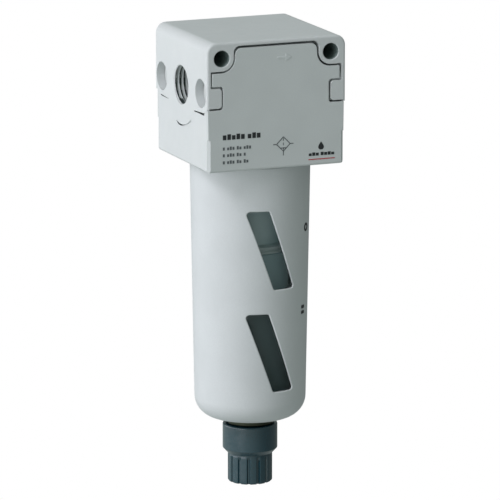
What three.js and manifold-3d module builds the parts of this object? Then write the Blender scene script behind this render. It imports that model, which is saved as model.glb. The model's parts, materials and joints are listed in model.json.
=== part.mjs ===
// Compressed air filter, size 1, G1/4 ports, with a bayonet bowl and a push-and-turn drain.
// Millimetres, +Z up.  Ports on the X axis, front cover towards -Y.
// Origin: on the rear mounting plane, mid-width, at the height of the port axis.

import * as THREE from 'three';
import { mergeVertices } from 'three/addons/utils/BufferGeometryUtils.js';
import Module from 'manifold-3d';

const wasm = await Module();
wasm.setup();

// ---------------------------------------------------------------- driving dimensions

const ROUND = 36;            // facets of large round parts
const SMALL_ROUND = 20;      // facets of small round parts
const GAP = 0.3;             // between faces of fixed neighbours
const FIT = 0.15;            // around pieces let into the head
const PAST = 2;              // how far a cutter runs past the surface it opens

// head
const HEAD_W = 45;
const HEAD_D = 42;
const HEAD_TOP = 15.8;
const HEAD_BOTTOM = -23.6;
const AXIS_Y = -HEAD_D / 2;  // axis of the bowl and of the ports
const TOP_SIDE_R = 3.2;      // rounding along the top's left and right edges
const TOP_FRONT_R = 0.8;     // rounding along the top's front and rear edges
const SIDE_STEP_Z = -4.6;    // the flanks step in below this height
const SIDE_STEP = 0.42;
const PORT_LAND_R = 12.1;    // the port and the bar beside it stay proud of the step
const BAR_LAND_Y = 19.3;
const BAR_LAND_Z = 6;
const BAR_LAND_R = 2;

// wall-mounting holes
const SCREW_X = 17.63;
const SCREW_Z = 10.93;
const SCREW_R = 2.5;

// ports, G1/4
const THREAD_MAJOR_R = 6.58;
const THREAD_MINOR_R = 5.72;
const THREAD_PITCH = 1.337;
const THREAD_TURNS = 4;
const PORT_DEPTH = 12;
const PORT_MOUTH_R = 6.05;
const PASSAGE_R = 4;

// holes of the module-joining screws, and the discs that close them
const TIE_OFFSET = 15.9;
const TIE_POCKET_R = 4.35;
const TIE_POCKET_DEPTH = 4.45;
const TIE_SCREW_R = 2.7;
const TIE_SCREW_DEPTH = 6.5;
const TIE_PLUG_RECESS = 2.55;
const TIE_PLUG_T = 1.6;

// covers
const COVER_T = 1.2;
const COVER_TOP = 13.85;
const COVER_SHOULDER_X = 13.25;
const COVER_CORNER_R = 2;
const COVER_EAR_X = 20.63;
const COVER_CHAMFER = 0.8;
const COVER_CHAMFER_TOP = -13.5;
const SEAM = 0.35;
const KEY_X = 17.12;         // inner end of the head's keys, which reach into the covers
const KEY_TOP = 2.58;
const KEY_R = 1;
const SNAP_X = 9;
const SNAP_Z = 10;
const SNAP_W = 5;
const SNAP_H = 1.6;
const SNAP_L = 3;

// bowl socket in the head
const SOCKET_TOP = -8.5;
const SEAL_BORE_R = 16.2;
const SEAL_BORE_BOTTOM = -15.5;
const NECK_BORE_R = 17.3;
const LUG_GROOVE_R = 18.7;
const LUG_GROOVE_TOP = -16.3;
const LUG_GROOVE_BOTTOM = -19.1;
const LUG_COUNT = 4;
const LUG_SPAN = 25;         // degrees
const LUG_SLACK = 1.5;       // degrees of play at each end
const LUG_TURN = 45;         // degrees from locked to free
const BOSS_R = 7.5;
const BOSS_BOTTOM = -11.6;
const SPIGOT_BORE_R = 3.75;

// guard over the bowl
const GUARD_TOP = -24;
const GUARD_BOTTOM = -104.57;
const GUARD_TOP_R = 18.38;
const GUARD_LOW_R = 17.08;
const GUARD_FOOT_R = 6.6;    // rounding at the foot
const GUARD_WALL = 1.6;
const NECK_TOP = -15.8;
const NECK_OUTER_R = 17;
const NECK_INNER_R = 15.5;
const LUG_R = 18.4;
const LUG_TOP = -16.6;
const LUG_BOTTOM = -18.8;
const NECK_TAPER_TOP = -25;   // the wall's inside widens from the neck to the shell here
const NECK_TAPER_BOTTOM = -27;
const WINDOW_TOP = -37.4;
const WINDOW_H = 24.5;
const WINDOW_W = 6.8;
const WINDOW_SLANT = 8.7;
const WINDOW_PITCH = 31.95;
const WINDOW_R = 1.1;

// bowl
const RIM_TOP = -9.2;
const RIM_BOTTOM = -15.4;
const RIM_R = 15.95;
const BOWL_TOP_R = 15.2;
const BOWL_LOW_R = 14.9;
const BOWL_INNER_TOP_R = 13.4;
const BOWL_INNER_LOW_R = 12.9;
const BOWL_FOOT_Z = -97.9;   // height where the foot's rounding starts
const BOWL_FOOT_R = 4.6;
const BOWL_INNER_FOOT_R = 2.6;
const O_RING_GROOVE_R = 14.6;
const O_RING_INNER_R = 14.75;
const O_RING_OUTER_R = 16.1;
const O_RING_Z = -12.6;
const O_RING_H = 1.4;

// filter cartridge
const STEM_FLANGE_R = 6.4;
const STEM_FLANGE_T = 1.7;
const STEM_TUBE_R = 4.6;
const STEM_BORE_R = 2.7;
const STEM_TUBE_BOTTOM = -29;
const STEM_ROD_R = 2.4;
const STEM_ROD_BOTTOM = -56;
const DEFLECTOR_TOP = -13.9;
const DEFLECTOR_BOTTOM = -19.7;
const DEFLECTOR_R = 13;
const DEFLECTOR_HUB_R = 9;
const VANE_COUNT = 10;
const ELEMENT_TOP = -21.2;
const ELEMENT_BOTTOM = -48.3;
const ELEMENT_R = 8.6;
const ELEMENT_INNER_R = 5.6;
const GASKET_T = 0.9;
const BAFFLE_TOP = -49.8;
const BAFFLE_EDGE = -51.9;
const BAFFLE_R = 12;
const BAFFLE_HUB_R = 5.2;
const BAFFLE_HUB_BOTTOM = -55;
const BAFFLE_WING_R = 9;
const SKIRT_R = 11.5;
const SKIRT_WALL = 1.2;
const SKIRT_BOTTOM = -64;

// drain
const DRAIN_HOLE_R = 4.3;
const SHANK_R = 3.9;
const SHANK_BORE_R = 2.35;
const SHANK_HOLE_R = 4.15;    // holes of the nut and collar that sit on the shank
const SHANK_BOTTOM = -111.2;
const DRAIN_FLANGE_R = 6.6;
const DRAIN_FLANGE_TOP = -97.4;
const DRAIN_FLANGE_BOTTOM = -98.9;
const NUT_R = 7.6;
const NUT_TOP = -104.87;
const NUT_BOTTOM = -106.64;
const COLLAR_R = 8.43;
const COLLAR_TOP = -106.94;
const COLLAR_STRAIGHT_BOTTOM = -114.7;
const COLLAR_BOTTOM = -116.15;
const COLLAR_PLATE_T = 1.5;
const COLLAR_BORE_R = 7;
const KNOB_R = 6.84;
const KNOB_TOP = -111.6;
const KNOB_BOTTOM = -125.35;
const KNOB_BORE_R = 4.5;
const KNOB_FLOOR_TOP = -116.8;
const KNOB_FLOOR_T = 2;
const KNOB_OUTLET_R = 4.9;
const FLUTE_TOP = -116.7;
const FLUTE_COUNT = 14;
const FLUTE_W = 0.9;
const FLUTE_DEPTH = 0.5;
const VALVE_R = 1.9;
const VALVE_HEAD_R = 3.6;
const VALVE_HEAD_TOP = -94.8;
const VALVE_HEAD_T = 1.4;
const VALVE_BORE_R = 0.9;
const CROSS_HOLE_Z = -98.3;
const NOZZLE_TOP = -119.1;
const NOZZLE_BOTTOM = -125;
const NOZZLE_R = 3;
const BARB_PITCH = 1.4;
const BARB_DEPTH = 0.4;
const NOZZLE_COLLAR_T = 1.2;
const CLIP_R = 3;
const CLIP_T = 0.6;
const CLIP_GROOVE_R = 1.4;
const CLIP_TOP = -115.9;
const SPRING_TOP = -111.5;
const SPRING_BOTTOM = -116.5;
const SPRING_R = 3.6;
const SPRING_WIRE_R = 0.28;
const SPRING_TURNS = 4;

// ---------------------------------------------------------------- materials

const finish = (color, roughness, metalness = 0) =>
  new THREE.MeshStandardMaterial({ color, roughness, metalness });

const PAINTED_ALLOY = finish(0xc9cdcb, 0.45);
const GREY_PLASTIC = finish(0xb9c0be, 0.5);
const PLUG_PLASTIC = finish(0xc4c9c7, 0.5);
const CLEAR_PLASTIC = finish(0x5c7472, 0.1);
const BLACK_PLASTIC = finish(0x232f33, 0.4);
const WHITE_ACETAL = finish(0xd8dad6, 0.4);
const SINTERED = finish(0xe2e0d6, 0.95);
const RUBBER = finish(0x1a1a1b, 0.7);
const BRASS = finish(0xb59a52, 0.3, 1);
const SPRING_STEEL = finish(0x9a9ca0, 0.3, 1);

// ---------------------------------------------------------------- solids

const degrees = THREE.MathUtils.degToRad;

/** A closed three.js geometry as a manifold solid, faces pointing out. */
function solid(geometry) {
  const bare = new THREE.BufferGeometry();
  bare.setAttribute('position', geometry.getAttribute('position'));
  if (geometry.index) bare.setIndex(geometry.index);
  const merged = mergeVertices(bare, 1e-5);
  const vertProperties = new Float32Array(merged.getAttribute('position').array);
  const corners = Array.from(merged.index.array);
  const triVerts = [];
  for (let i = 0; i < corners.length; i += 3) {
    const [a, b, c] = corners.slice(i, i + 3);
    if (a !== b && b !== c && c !== a) triVerts.push(a, b, c);
  }
  if (signedVolume(vertProperties, triVerts) < 0) triVerts.reverse();
  const mesh = new wasm.Mesh({ numProp: 3, vertProperties, triVerts: new Uint32Array(triVerts) });
  return new wasm.Manifold(mesh);
}

function signedVolume(points, triangles) {
  const corner = (i) => new THREE.Vector3().fromArray(points, triangles[i] * 3);
  let sum = 0;
  for (let i = 0; i < triangles.length; i += 3) {
    sum += corner(i).dot(corner(i + 1).cross(corner(i + 2)));
  }
  return sum / 6;
}

/** A manifold solid as a flat-shaded three.js geometry. */
function geometryOf(body) {
  const mesh = body.getMesh();
  const geometry = new THREE.BufferGeometry();
  geometry.setAttribute('position', new THREE.BufferAttribute(new Float32Array(mesh.vertProperties), 3));
  geometry.setIndex(Array.from(mesh.triVerts));
  geometry.computeVertexNormals();
  return geometry;
}

/** Outline in x and z, from yFront back to yRear. */
function extrudeY(shape, yFront, yRear, curveSegments = 5) {
  const geometry = new THREE.ExtrudeGeometry(shape, {
    depth: yRear - yFront, bevelEnabled: false, curveSegments,
  });
  geometry.rotateX(Math.PI / 2);
  geometry.translate(0, yRear, 0);
  return solid(geometry);
}

/** Outline in y and z, from xLeft to xRight. */
function extrudeX(shape, xLeft, xRight, curveSegments = 4) {
  const geometry = new THREE.ExtrudeGeometry(shape, {
    depth: xRight - xLeft, bevelEnabled: false, curveSegments,
  });
  const turn = new THREE.Matrix4().makeBasis(
    new THREE.Vector3(0, 1, 0), new THREE.Vector3(0, 0, 1), new THREE.Vector3(1, 0, 0));
  geometry.applyMatrix4(turn);
  geometry.translate(xLeft, 0, 0);
  return solid(geometry);
}

/** Outline in x and y about the bowl axis, from low to high. */
function extrudeZ(shape, low, high, curveSegments = 5) {
  const geometry = new THREE.ExtrudeGeometry(shape, {
    depth: high - low, bevelEnabled: false, curveSegments,
  });
  geometry.translate(0, AXIS_Y, low);
  return solid(geometry);
}

/** Profile of [radius, z] points turned about the bowl axis. */
function turned(profile, facets = ROUND) {
  const points = profile.map(([r, z]) => new THREE.Vector2(r, z));
  const geometry = new THREE.LatheGeometry(points, facets);
  geometry.rotateX(Math.PI / 2);
  geometry.translate(0, AXIS_Y, 0);
  return solid(geometry);
}

/** Profile of [radius, x] points turned about a line along X. */
function turnedX(profile, y, z, facets = SMALL_ROUND) {
  const points = profile.map(([r, x]) => new THREE.Vector2(r, x));
  const geometry = new THREE.LatheGeometry(points, facets);
  geometry.rotateZ(-Math.PI / 2);
  geometry.translate(0, y, z);
  return solid(geometry);
}

const rod = (r, low, high, facets) => turned([[0, low], [r, low], [r, high], [0, high]], facets);

const rodX = (r, left, right, y, z, facets) =>
  turnedX([[0, left], [r, left], [r, right], [0, right]], y, z, facets);

function rodY(r, front, rear, x, z, facets = SMALL_ROUND) {
  const geometry = new THREE.CylinderGeometry(r, r, rear - front, facets);
  geometry.translate(x, (front + rear) / 2, z);
  return solid(geometry);
}

function ring(inner, outer, low, high, facets = ROUND) {
  return turned([[inner, low], [outer, low], [outer, high], [inner, high], [inner, low]], facets);
}

function block(x0, x1, y0, y1, z0, z1) {
  const geometry = new THREE.BoxGeometry(x1 - x0, y1 - y0, z1 - z0);
  geometry.translate((x0 + x1) / 2, (y0 + y1) / 2, (z0 + z1) / 2);
  return solid(geometry);
}

/** Sector of a ring about the bowl axis, centred on an angle in degrees. */
function sector(inner, outer, low, high, centre, span) {
  const from = degrees(centre - span / 2);
  const to = degrees(centre + span / 2);
  const shape = new THREE.Shape();
  shape.absarc(0, 0, outer, from, to, false);
  shape.absarc(0, 0, inner, to, from, true);
  shape.closePath();
  return extrudeZ(shape, low, high, 5);
}

/** Quarter-round points from one direction to another, in degrees, about [r, z]. */
function arc(centreR, centreZ, radius, from, to, steps = 3) {
  const points = [];
  for (let i = 0; i <= steps; i++) {
    const angle = degrees(from + (to - from) * i / steps);
    points.push([centreR + radius * Math.cos(angle), centreZ + radius * Math.sin(angle)]);
  }
  return points;
}

const turnAboutAxis = (body, angle) =>
  body.translate([0, -AXIS_Y, 0]).rotate([0, 0, angle]).translate([0, AXIS_Y, 0]);

const without = (body, cutters) => cutters.reduce((rest, cutter) => rest.subtract(cutter), body);

const withAll = (body, pieces) => pieces.reduce((sum, piece) => sum.add(piece), body);

// ---------------------------------------------------------------- head

function sideOutline() {
  const halfLow = HEAD_W / 2 - SIDE_STEP;
  const half = HEAD_W / 2;
  const shape = new THREE.Shape();
  shape.moveTo(-halfLow, HEAD_BOTTOM);
  shape.lineTo(halfLow, HEAD_BOTTOM);
  shape.lineTo(halfLow, SIDE_STEP_Z);
  shape.lineTo(half, SIDE_STEP_Z);
  shape.lineTo(half, HEAD_TOP - TOP_SIDE_R);
  shape.absarc(half - TOP_SIDE_R, HEAD_TOP - TOP_SIDE_R, TOP_SIDE_R, 0, Math.PI / 2, false);
  shape.absarc(TOP_SIDE_R - half, HEAD_TOP - TOP_SIDE_R, TOP_SIDE_R, Math.PI / 2, Math.PI, false);
  shape.lineTo(-half, SIDE_STEP_Z);
  shape.lineTo(-halfLow, SIDE_STEP_Z);
  shape.closePath();
  return shape;
}

function depthOutline() {
  const shape = new THREE.Shape();
  shape.moveTo(-HEAD_D, HEAD_BOTTOM);
  shape.lineTo(0, HEAD_BOTTOM);
  shape.lineTo(0, HEAD_TOP - TOP_FRONT_R);
  shape.absarc(-TOP_FRONT_R, HEAD_TOP - TOP_FRONT_R, TOP_FRONT_R, 0, Math.PI / 2, false);
  shape.absarc(TOP_FRONT_R - HEAD_D, HEAD_TOP - TOP_FRONT_R, TOP_FRONT_R, Math.PI / 2, Math.PI, false);
  shape.closePath();
  return shape;
}

/** Rounded bar through the joining-screw holes, centred on the ports. */
function barOutline() {
  const y = BAR_LAND_Y - BAR_LAND_R;
  const z = BAR_LAND_Z - BAR_LAND_R;
  const shape = new THREE.Shape();
  shape.absarc(AXIS_Y + y, z, BAR_LAND_R, 0, Math.PI / 2, false);
  shape.absarc(AXIS_Y - y, z, BAR_LAND_R, Math.PI / 2, Math.PI, false);
  shape.absarc(AXIS_Y - y, -z, BAR_LAND_R, Math.PI, 1.5 * Math.PI, false);
  shape.absarc(AXIS_Y + y, -z, BAR_LAND_R, 1.5 * Math.PI, 2 * Math.PI, false);
  shape.closePath();
  return shape;
}

function headBlock() {
  const half = HEAD_W / 2;
  const lands = [
    rodX(PORT_LAND_R, -half, half, AXIS_Y, 0, ROUND),
    extrudeX(barOutline(), -half, half),
  ];
  const outline = extrudeY(sideOutline(), -HEAD_D, 0);
  return withAll(outline, lands).intersect(extrudeX(depthOutline(), -half, half));
}

/** Cutter of one threaded port, opening at the flank on the given side. */
function portCutter(side) {
  const face = side * HEAD_W / 2;
  const inward = (distance) => face - side * distance;
  const chamfer = PORT_MOUTH_R - THREAD_MINOR_R;
  const profile = [[0, inward(-PAST)], [PORT_MOUTH_R, inward(-PAST)], [PORT_MOUTH_R, inward(0)]];
  profile.push([THREAD_MINOR_R, inward(chamfer)]);
  for (let turn = 0; turn < THREAD_TURNS; turn++) {
    const start = chamfer + turn * THREAD_PITCH;
    profile.push([THREAD_MAJOR_R, inward(start + THREAD_PITCH / 2)]);
    profile.push([THREAD_MINOR_R, inward(start + THREAD_PITCH)]);
  }
  profile.push([THREAD_MINOR_R, inward(PORT_DEPTH)], [0, inward(PORT_DEPTH)]);
  return turnedX(profile, AXIS_Y, 0);
}

function tieCutters() {
  const cutters = [];
  const half = HEAD_W / 2;
  const floor = half - TIE_POCKET_DEPTH;
  for (const side of [-1, 1]) {
    for (const end of [-1, 1]) {
      const y = AXIS_Y + end * TIE_OFFSET;
      const pocket = [side * floor, side * (half + PAST)].sort((a, b) => a - b);
      const hole = [side * (floor - TIE_SCREW_DEPTH), side * (floor + 1)].sort((a, b) => a - b);
      cutters.push(rodX(TIE_POCKET_R, ...pocket, y, 0), rodX(TIE_SCREW_R, ...hole, y, 0));
    }
  }
  return cutters;
}

/** Bowl socket: seal bore, neck bore, and the bayonet's entry slots and locking grooves. */
function socketCutters() {
  const cutters = [
    ring(BOSS_R, SEAL_BORE_R, BOSS_BOTTOM, SOCKET_TOP),
    rod(SEAL_BORE_R, SEAL_BORE_BOTTOM - 1, BOSS_BOTTOM, ROUND),
    rod(NECK_BORE_R, HEAD_BOTTOM - PAST, SEAL_BORE_BOTTOM, ROUND),
  ];
  for (let i = 0; i < LUG_COUNT; i++) {
    const locked = (i + 0.5) * 360 / LUG_COUNT;
    const open = locked - LUG_TURN;
    const middle = (locked + open) / 2;
    const inner = NECK_BORE_R - 1;
    const grooveSpan = LUG_TURN + LUG_SPAN + 2 * LUG_SLACK;
    const entrySpan = LUG_SPAN + 2 * LUG_SLACK;
    cutters.push(
      sector(inner, LUG_GROOVE_R, LUG_GROOVE_BOTTOM, LUG_GROOVE_TOP, middle, grooveSpan),
      sector(inner, LUG_GROOVE_R, HEAD_BOTTOM - PAST, LUG_GROOVE_BOTTOM + 1, open, entrySpan));
  }
  return cutters;
}

/** Inlet drops into the ring around the boss; the outlet leaves through the boss. */
function passageCutters() {
  const portEnd = HEAD_W / 2 - PORT_DEPTH;
  const dropDepth = 5;
  return [
    block(-portEnd - dropDepth, -portEnd + 1, AXIS_Y - PASSAGE_R, AXIS_Y + PASSAGE_R, SOCKET_TOP - 1, 0),
    rodX(PASSAGE_R, 0, portEnd + 1, AXIS_Y, 0),
    rod(SPIGOT_BORE_R, BOSS_BOTTOM - 1, 0, SMALL_ROUND),
  ];
}

function screwHoleCutters() {
  return [-1, 1].map((side) => rodY(SCREW_R, -HEAD_D - PAST, PAST, side * SCREW_X, SCREW_Z));
}

/** Outline of a cover, grown by a margin to cut the recess that it lies in. */
function coverOutline(grow) {
  const low = HEAD_BOTTOM - (grow ? PAST : 0);
  const half = HEAD_W / 2 - SIDE_STEP + (grow ? PAST : 0);
  const bossR = SCREW_X - COVER_SHOULDER_X;
  const top = COVER_TOP + grow;
  const shoulder = COVER_SHOULDER_X + grow;
  const ear = COVER_EAR_X + grow;
  const keyTop = KEY_TOP - grow;
  const keyBottom = SIDE_STEP_Z + grow;
  const keyX = KEY_X + grow;
  const corner = COVER_CORNER_R;
  const right = new THREE.Path();
  right.moveTo(half, low);
  right.lineTo(half, keyBottom);
  right.lineTo(keyX + KEY_R, keyBottom);
  right.absarc(keyX + KEY_R, keyBottom + KEY_R, KEY_R, -Math.PI / 2, -Math.PI, true);
  right.lineTo(keyX, keyTop - KEY_R);
  right.absarc(keyX + KEY_R, keyTop - KEY_R, KEY_R, Math.PI, Math.PI / 2, true);
  right.lineTo(ear, keyTop);
  right.lineTo(ear, SCREW_Z - bossR + grow);
  right.lineTo(SCREW_X, SCREW_Z - bossR + grow);
  right.absarc(SCREW_X, SCREW_Z, bossR - grow, -Math.PI / 2, -Math.PI, true);
  right.lineTo(shoulder, top - corner);
  right.absarc(shoulder - corner, top - corner, corner, 0, Math.PI / 2, false);
  const points = right.getPoints(4);
  const mirrored = points.map((p) => new THREE.Vector2(-p.x, p.y)).reverse();
  return new THREE.Shape([...points, ...mirrored]);
}

/** Turns a piece made for the front of the head round to the rear. */
const toRear = (body) => turnAboutAxis(body, 180);

function snapBlocks(grow) {
  const rear = -HEAD_D + COVER_T + SNAP_L + grow;
  return [-1, 1].map((side) => block(
    side * SNAP_X - SNAP_W / 2 - grow, side * SNAP_X + SNAP_W / 2 + grow, -HEAD_D + 0.5, rear,
    SNAP_Z - SNAP_H / 2 - grow, SNAP_Z + SNAP_H / 2 + grow));
}

function headBody() {
  const coverRecess = extrudeY(coverOutline(SEAM), -HEAD_D - PAST, -HEAD_D + COVER_T + FIT);
  const front = [coverRecess, ...snapBlocks(GAP)];
  const rear = front.map(toRear);
  return without(headBlock(), [
    ...front, ...rear, portCutter(-1), portCutter(1), ...tieCutters(),
    ...socketCutters(), ...passageCutters(), ...screwHoleCutters(),
  ]);
}

/** Cover panel with two snaps; its lower corners are chamfered. */
function frontCover() {
  const panel = extrudeY(coverOutline(0), -HEAD_D, -HEAD_D + COVER_T);
  const chamfers = [-1, 1].map((side) => {
    const cutter = solid(new THREE.BoxGeometry(COVER_CHAMFER * Math.SQRT2, COVER_CHAMFER * Math.SQRT2,
      COVER_CHAMFER_TOP - HEAD_BOTTOM + PAST).rotateZ(Math.PI / 4));
    const z = (COVER_CHAMFER_TOP + HEAD_BOTTOM - PAST) / 2;
    return cutter.translate([side * (HEAD_W / 2 - SIDE_STEP), -HEAD_D, z]);
  });
  return without(withAll(panel, snapBlocks(0)), chamfers);
}

function tiePlug(side, end) {
  const outer = HEAD_W / 2 - TIE_PLUG_RECESS;
  const span = [side * (outer - TIE_PLUG_T), side * outer].sort((a, b) => a - b);
  return rodX(TIE_POCKET_R - FIT, ...span, AXIS_Y + end * TIE_OFFSET, 0);
}

// ---------------------------------------------------------------- bowl and guard

const guardRadius = (z) =>
  GUARD_TOP_R + (GUARD_LOW_R - GUARD_TOP_R) * (z - GUARD_TOP) / (GUARD_BOTTOM + GUARD_FOOT_R - GUARD_TOP);

/** One slanted sight window, cut straight through the front wall. */
function windowCutter(top) {
  const lean = WINDOW_SLANT / 2;
  const half = WINDOW_W / 2;
  const low = top - WINDOW_H;
  const corners = [
    new THREE.Vector2(-lean - half, top), new THREE.Vector2(lean - half, low),
    new THREE.Vector2(lean + half, low), new THREE.Vector2(-lean + half, top),
  ];
  const shape = new THREE.Shape();
  corners.forEach((corner, i) => {
    const before = corners[(i + 3) % 4].clone().sub(corner).normalize();
    const after = corners[(i + 1) % 4].clone().sub(corner).normalize();
    const start = corner.clone().addScaledVector(before, WINDOW_R);
    const end = corner.clone().addScaledVector(after, WINDOW_R);
    if (i === 0) shape.moveTo(start.x, start.y);
    else shape.lineTo(start.x, start.y);
    shape.quadraticCurveTo(corner.x, corner.y, end.x, end.y);
  });
  shape.closePath();
  return extrudeY(shape, AXIS_Y - GUARD_TOP_R - PAST, AXIS_Y - NECK_INNER_R / 2, 3);
}

function bowlGuard() {
  const footZ = GUARD_BOTTOM + GUARD_FOOT_R;
  const footCentre = GUARD_LOW_R - GUARD_FOOT_R;
  const innerFootR = GUARD_FOOT_R - GUARD_WALL;
  const shell = turned([
    [DRAIN_HOLE_R, GUARD_BOTTOM],
    ...arc(footCentre, footZ, GUARD_FOOT_R, -90, 0),
    [GUARD_TOP_R, GUARD_TOP], [NECK_OUTER_R, GUARD_TOP],
    [NECK_OUTER_R, NECK_TOP], [NECK_INNER_R, NECK_TOP], [NECK_INNER_R, NECK_TAPER_TOP],
    [guardRadius(NECK_TAPER_BOTTOM) - GUARD_WALL, NECK_TAPER_BOTTOM],
    ...arc(footCentre, footZ, innerFootR, 0, -90),
    [DRAIN_HOLE_R, GUARD_BOTTOM + GUARD_WALL], [DRAIN_HOLE_R, GUARD_BOTTOM],
  ]);
  const lugs = [];
  for (let i = 0; i < LUG_COUNT; i++) {
    const centre = (i + 0.5) * 360 / LUG_COUNT;
    lugs.push(sector(NECK_OUTER_R - 0.5, LUG_R, LUG_BOTTOM, LUG_TOP, centre, LUG_SPAN));
  }
  const windows = [windowCutter(WINDOW_TOP), windowCutter(WINDOW_TOP - WINDOW_PITCH)];
  return without(withAll(shell, lugs), [...windows, ...windows.map(toRear)]);
}

function bowl() {
  const outerCentre = BOWL_LOW_R - BOWL_FOOT_R;
  const innerCentre = BOWL_INNER_LOW_R - BOWL_INNER_FOOT_R;
  const bottom = BOWL_FOOT_Z - BOWL_FOOT_R;
  const floor = BOWL_FOOT_Z - BOWL_INNER_FOOT_R;
  const grooveTop = O_RING_Z + O_RING_H / 2 + FIT;
  const grooveBottom = O_RING_Z - O_RING_H / 2 - FIT;
  return turned([
    [DRAIN_HOLE_R, bottom],
    ...arc(outerCentre, BOWL_FOOT_Z, BOWL_FOOT_R, -90, 0),
    [BOWL_TOP_R, RIM_BOTTOM], [RIM_R, RIM_BOTTOM],
    [RIM_R, grooveBottom], [O_RING_GROOVE_R, grooveBottom],
    [O_RING_GROOVE_R, grooveTop], [RIM_R, grooveTop],
    [RIM_R, RIM_TOP], [BOWL_INNER_TOP_R, RIM_TOP], [BOWL_INNER_TOP_R, RIM_BOTTOM],
    ...arc(innerCentre, BOWL_FOOT_Z, BOWL_INNER_FOOT_R, 0, -90, 4),
    [DRAIN_HOLE_R, floor], [DRAIN_HOLE_R, bottom],
  ]);
}

/** Closed round section as [radius, z] points, for a moulded ring. */
function roundSection(inner, outer, centreZ, height, facets = 6) {
  const points = [];
  for (let i = 0; i <= facets; i++) {
    const angle = 2 * Math.PI * i / facets;
    const r = (inner + outer) / 2 + (outer - inner) / 2 * Math.cos(angle);
    points.push([r, centreZ + height / 2 * Math.sin(angle)]);
  }
  return points;
}

const bowlORing = () =>
  turned(roundSection(O_RING_INNER_R, O_RING_OUTER_R, O_RING_Z, O_RING_H));

// ---------------------------------------------------------------- filter cartridge

/** Hollow stem screwed into the head; its slots pass filtered air up to the outlet. */
function centreStem() {
  const flangeTop = BOSS_BOTTOM - GAP;
  const flangeBottom = flangeTop - STEM_FLANGE_T;
  const spigotR = SPIGOT_BORE_R - GAP;
  const spigotTop = -5;
  const boreBottom = STEM_TUBE_BOTTOM + 1.5;
  const slotW = 2;
  const slotTop = -23;
  const body = turned([
    [0, STEM_ROD_BOTTOM], [STEM_ROD_R, STEM_ROD_BOTTOM],
    [STEM_ROD_R, STEM_TUBE_BOTTOM], [STEM_TUBE_R, STEM_TUBE_BOTTOM],
    [STEM_TUBE_R, flangeBottom], [STEM_FLANGE_R, flangeBottom],
    [STEM_FLANGE_R, flangeTop], [spigotR, flangeTop],
    [spigotR, spigotTop], [STEM_BORE_R, spigotTop], [STEM_BORE_R, boreBottom], [0, boreBottom],
  ], SMALL_ROUND);
  const reach = STEM_TUBE_R + PAST;
  return without(body, [
    block(-reach, reach, AXIS_Y - slotW / 2, AXIS_Y + slotW / 2, boreBottom, slotTop),
    block(-slotW / 2, slotW / 2, AXIS_Y - reach, AXIS_Y + reach, boreBottom, slotTop),
  ]);
}

/** Hub and outer band joined by slanted vanes, which set the incoming air spinning. */
function swirlDeflector() {
  const bandT = 0.9;
  const vaneT = 0.9;
  const vaneLean = 35;
  const height = DEFLECTOR_TOP - DEFLECTOR_BOTTOM;
  const vaneHeight = 3.4;
  const hub = ring(STEM_TUBE_R + GAP, DEFLECTOR_HUB_R, DEFLECTOR_BOTTOM, DEFLECTOR_TOP, SMALL_ROUND);
  const band = ring(DEFLECTOR_R - bandT, DEFLECTOR_R, DEFLECTOR_BOTTOM, DEFLECTOR_TOP);
  const vanes = [];
  for (let i = 0; i < VANE_COUNT; i++) {
    const length = DEFLECTOR_R - DEFLECTOR_HUB_R + bandT / 2;
    const blade = new THREE.BoxGeometry(length, vaneT, vaneHeight);
    blade.rotateX(degrees(vaneLean));
    blade.translate(DEFLECTOR_HUB_R - bandT / 2 + length / 2, 0, 0);
    blade.rotateZ(2 * Math.PI * i / VANE_COUNT);
    blade.translate(0, AXIS_Y, DEFLECTOR_BOTTOM + height / 2);
    vanes.push(solid(blade));
  }
  return withAll(hub.add(band), vanes);
}

const elementGasket = (top) =>
  ring(ELEMENT_INNER_R, ELEMENT_R + GAP, top - GASKET_T, top, SMALL_ROUND);

const filterElement = () => ring(ELEMENT_INNER_R, ELEMENT_R, ELEMENT_BOTTOM, ELEMENT_TOP, SMALL_ROUND);

/** Baffle disc with a ridged edge, and a winged hub that screws onto the stem. */
function baffle() {
  const edgeStep = 0.4;
  const ridge = (BAFFLE_TOP - BAFFLE_EDGE) / 3;
  const discT = 1.1;
  const disc = turned([
    [STEM_ROD_R + FIT, BAFFLE_HUB_BOTTOM], [BAFFLE_HUB_R, BAFFLE_HUB_BOTTOM],
    [BAFFLE_HUB_R, BAFFLE_TOP - discT], [BAFFLE_R - 1, BAFFLE_TOP - discT],
    [BAFFLE_R - 1, BAFFLE_EDGE], [BAFFLE_R, BAFFLE_EDGE],
    [BAFFLE_R, BAFFLE_EDGE + ridge], [BAFFLE_R - edgeStep, BAFFLE_EDGE + ridge],
    [BAFFLE_R - edgeStep, BAFFLE_EDGE + 2 * ridge], [BAFFLE_R, BAFFLE_EDGE + 2 * ridge],
    [BAFFLE_R, BAFFLE_TOP], [STEM_ROD_R + FIT, BAFFLE_TOP],
    [STEM_ROD_R + FIT, BAFFLE_HUB_BOTTOM],
  ], SMALL_ROUND);
  const wingT = 1;
  const wings = [0, 90].map((angle) => {
    const bar = block(-BAFFLE_WING_R, BAFFLE_WING_R, AXIS_Y - wingT / 2, AXIS_Y + wingT / 2,
      BAFFLE_HUB_BOTTOM, BAFFLE_TOP - discT / 2);
    return turnAboutAxis(bar, angle);
  });
  const bore = rod(STEM_ROD_R + FIT, BAFFLE_HUB_BOTTOM - 1, BAFFLE_TOP + 1, SMALL_ROUND);
  return withAll(disc, wings).subtract(bore);
}

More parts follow.
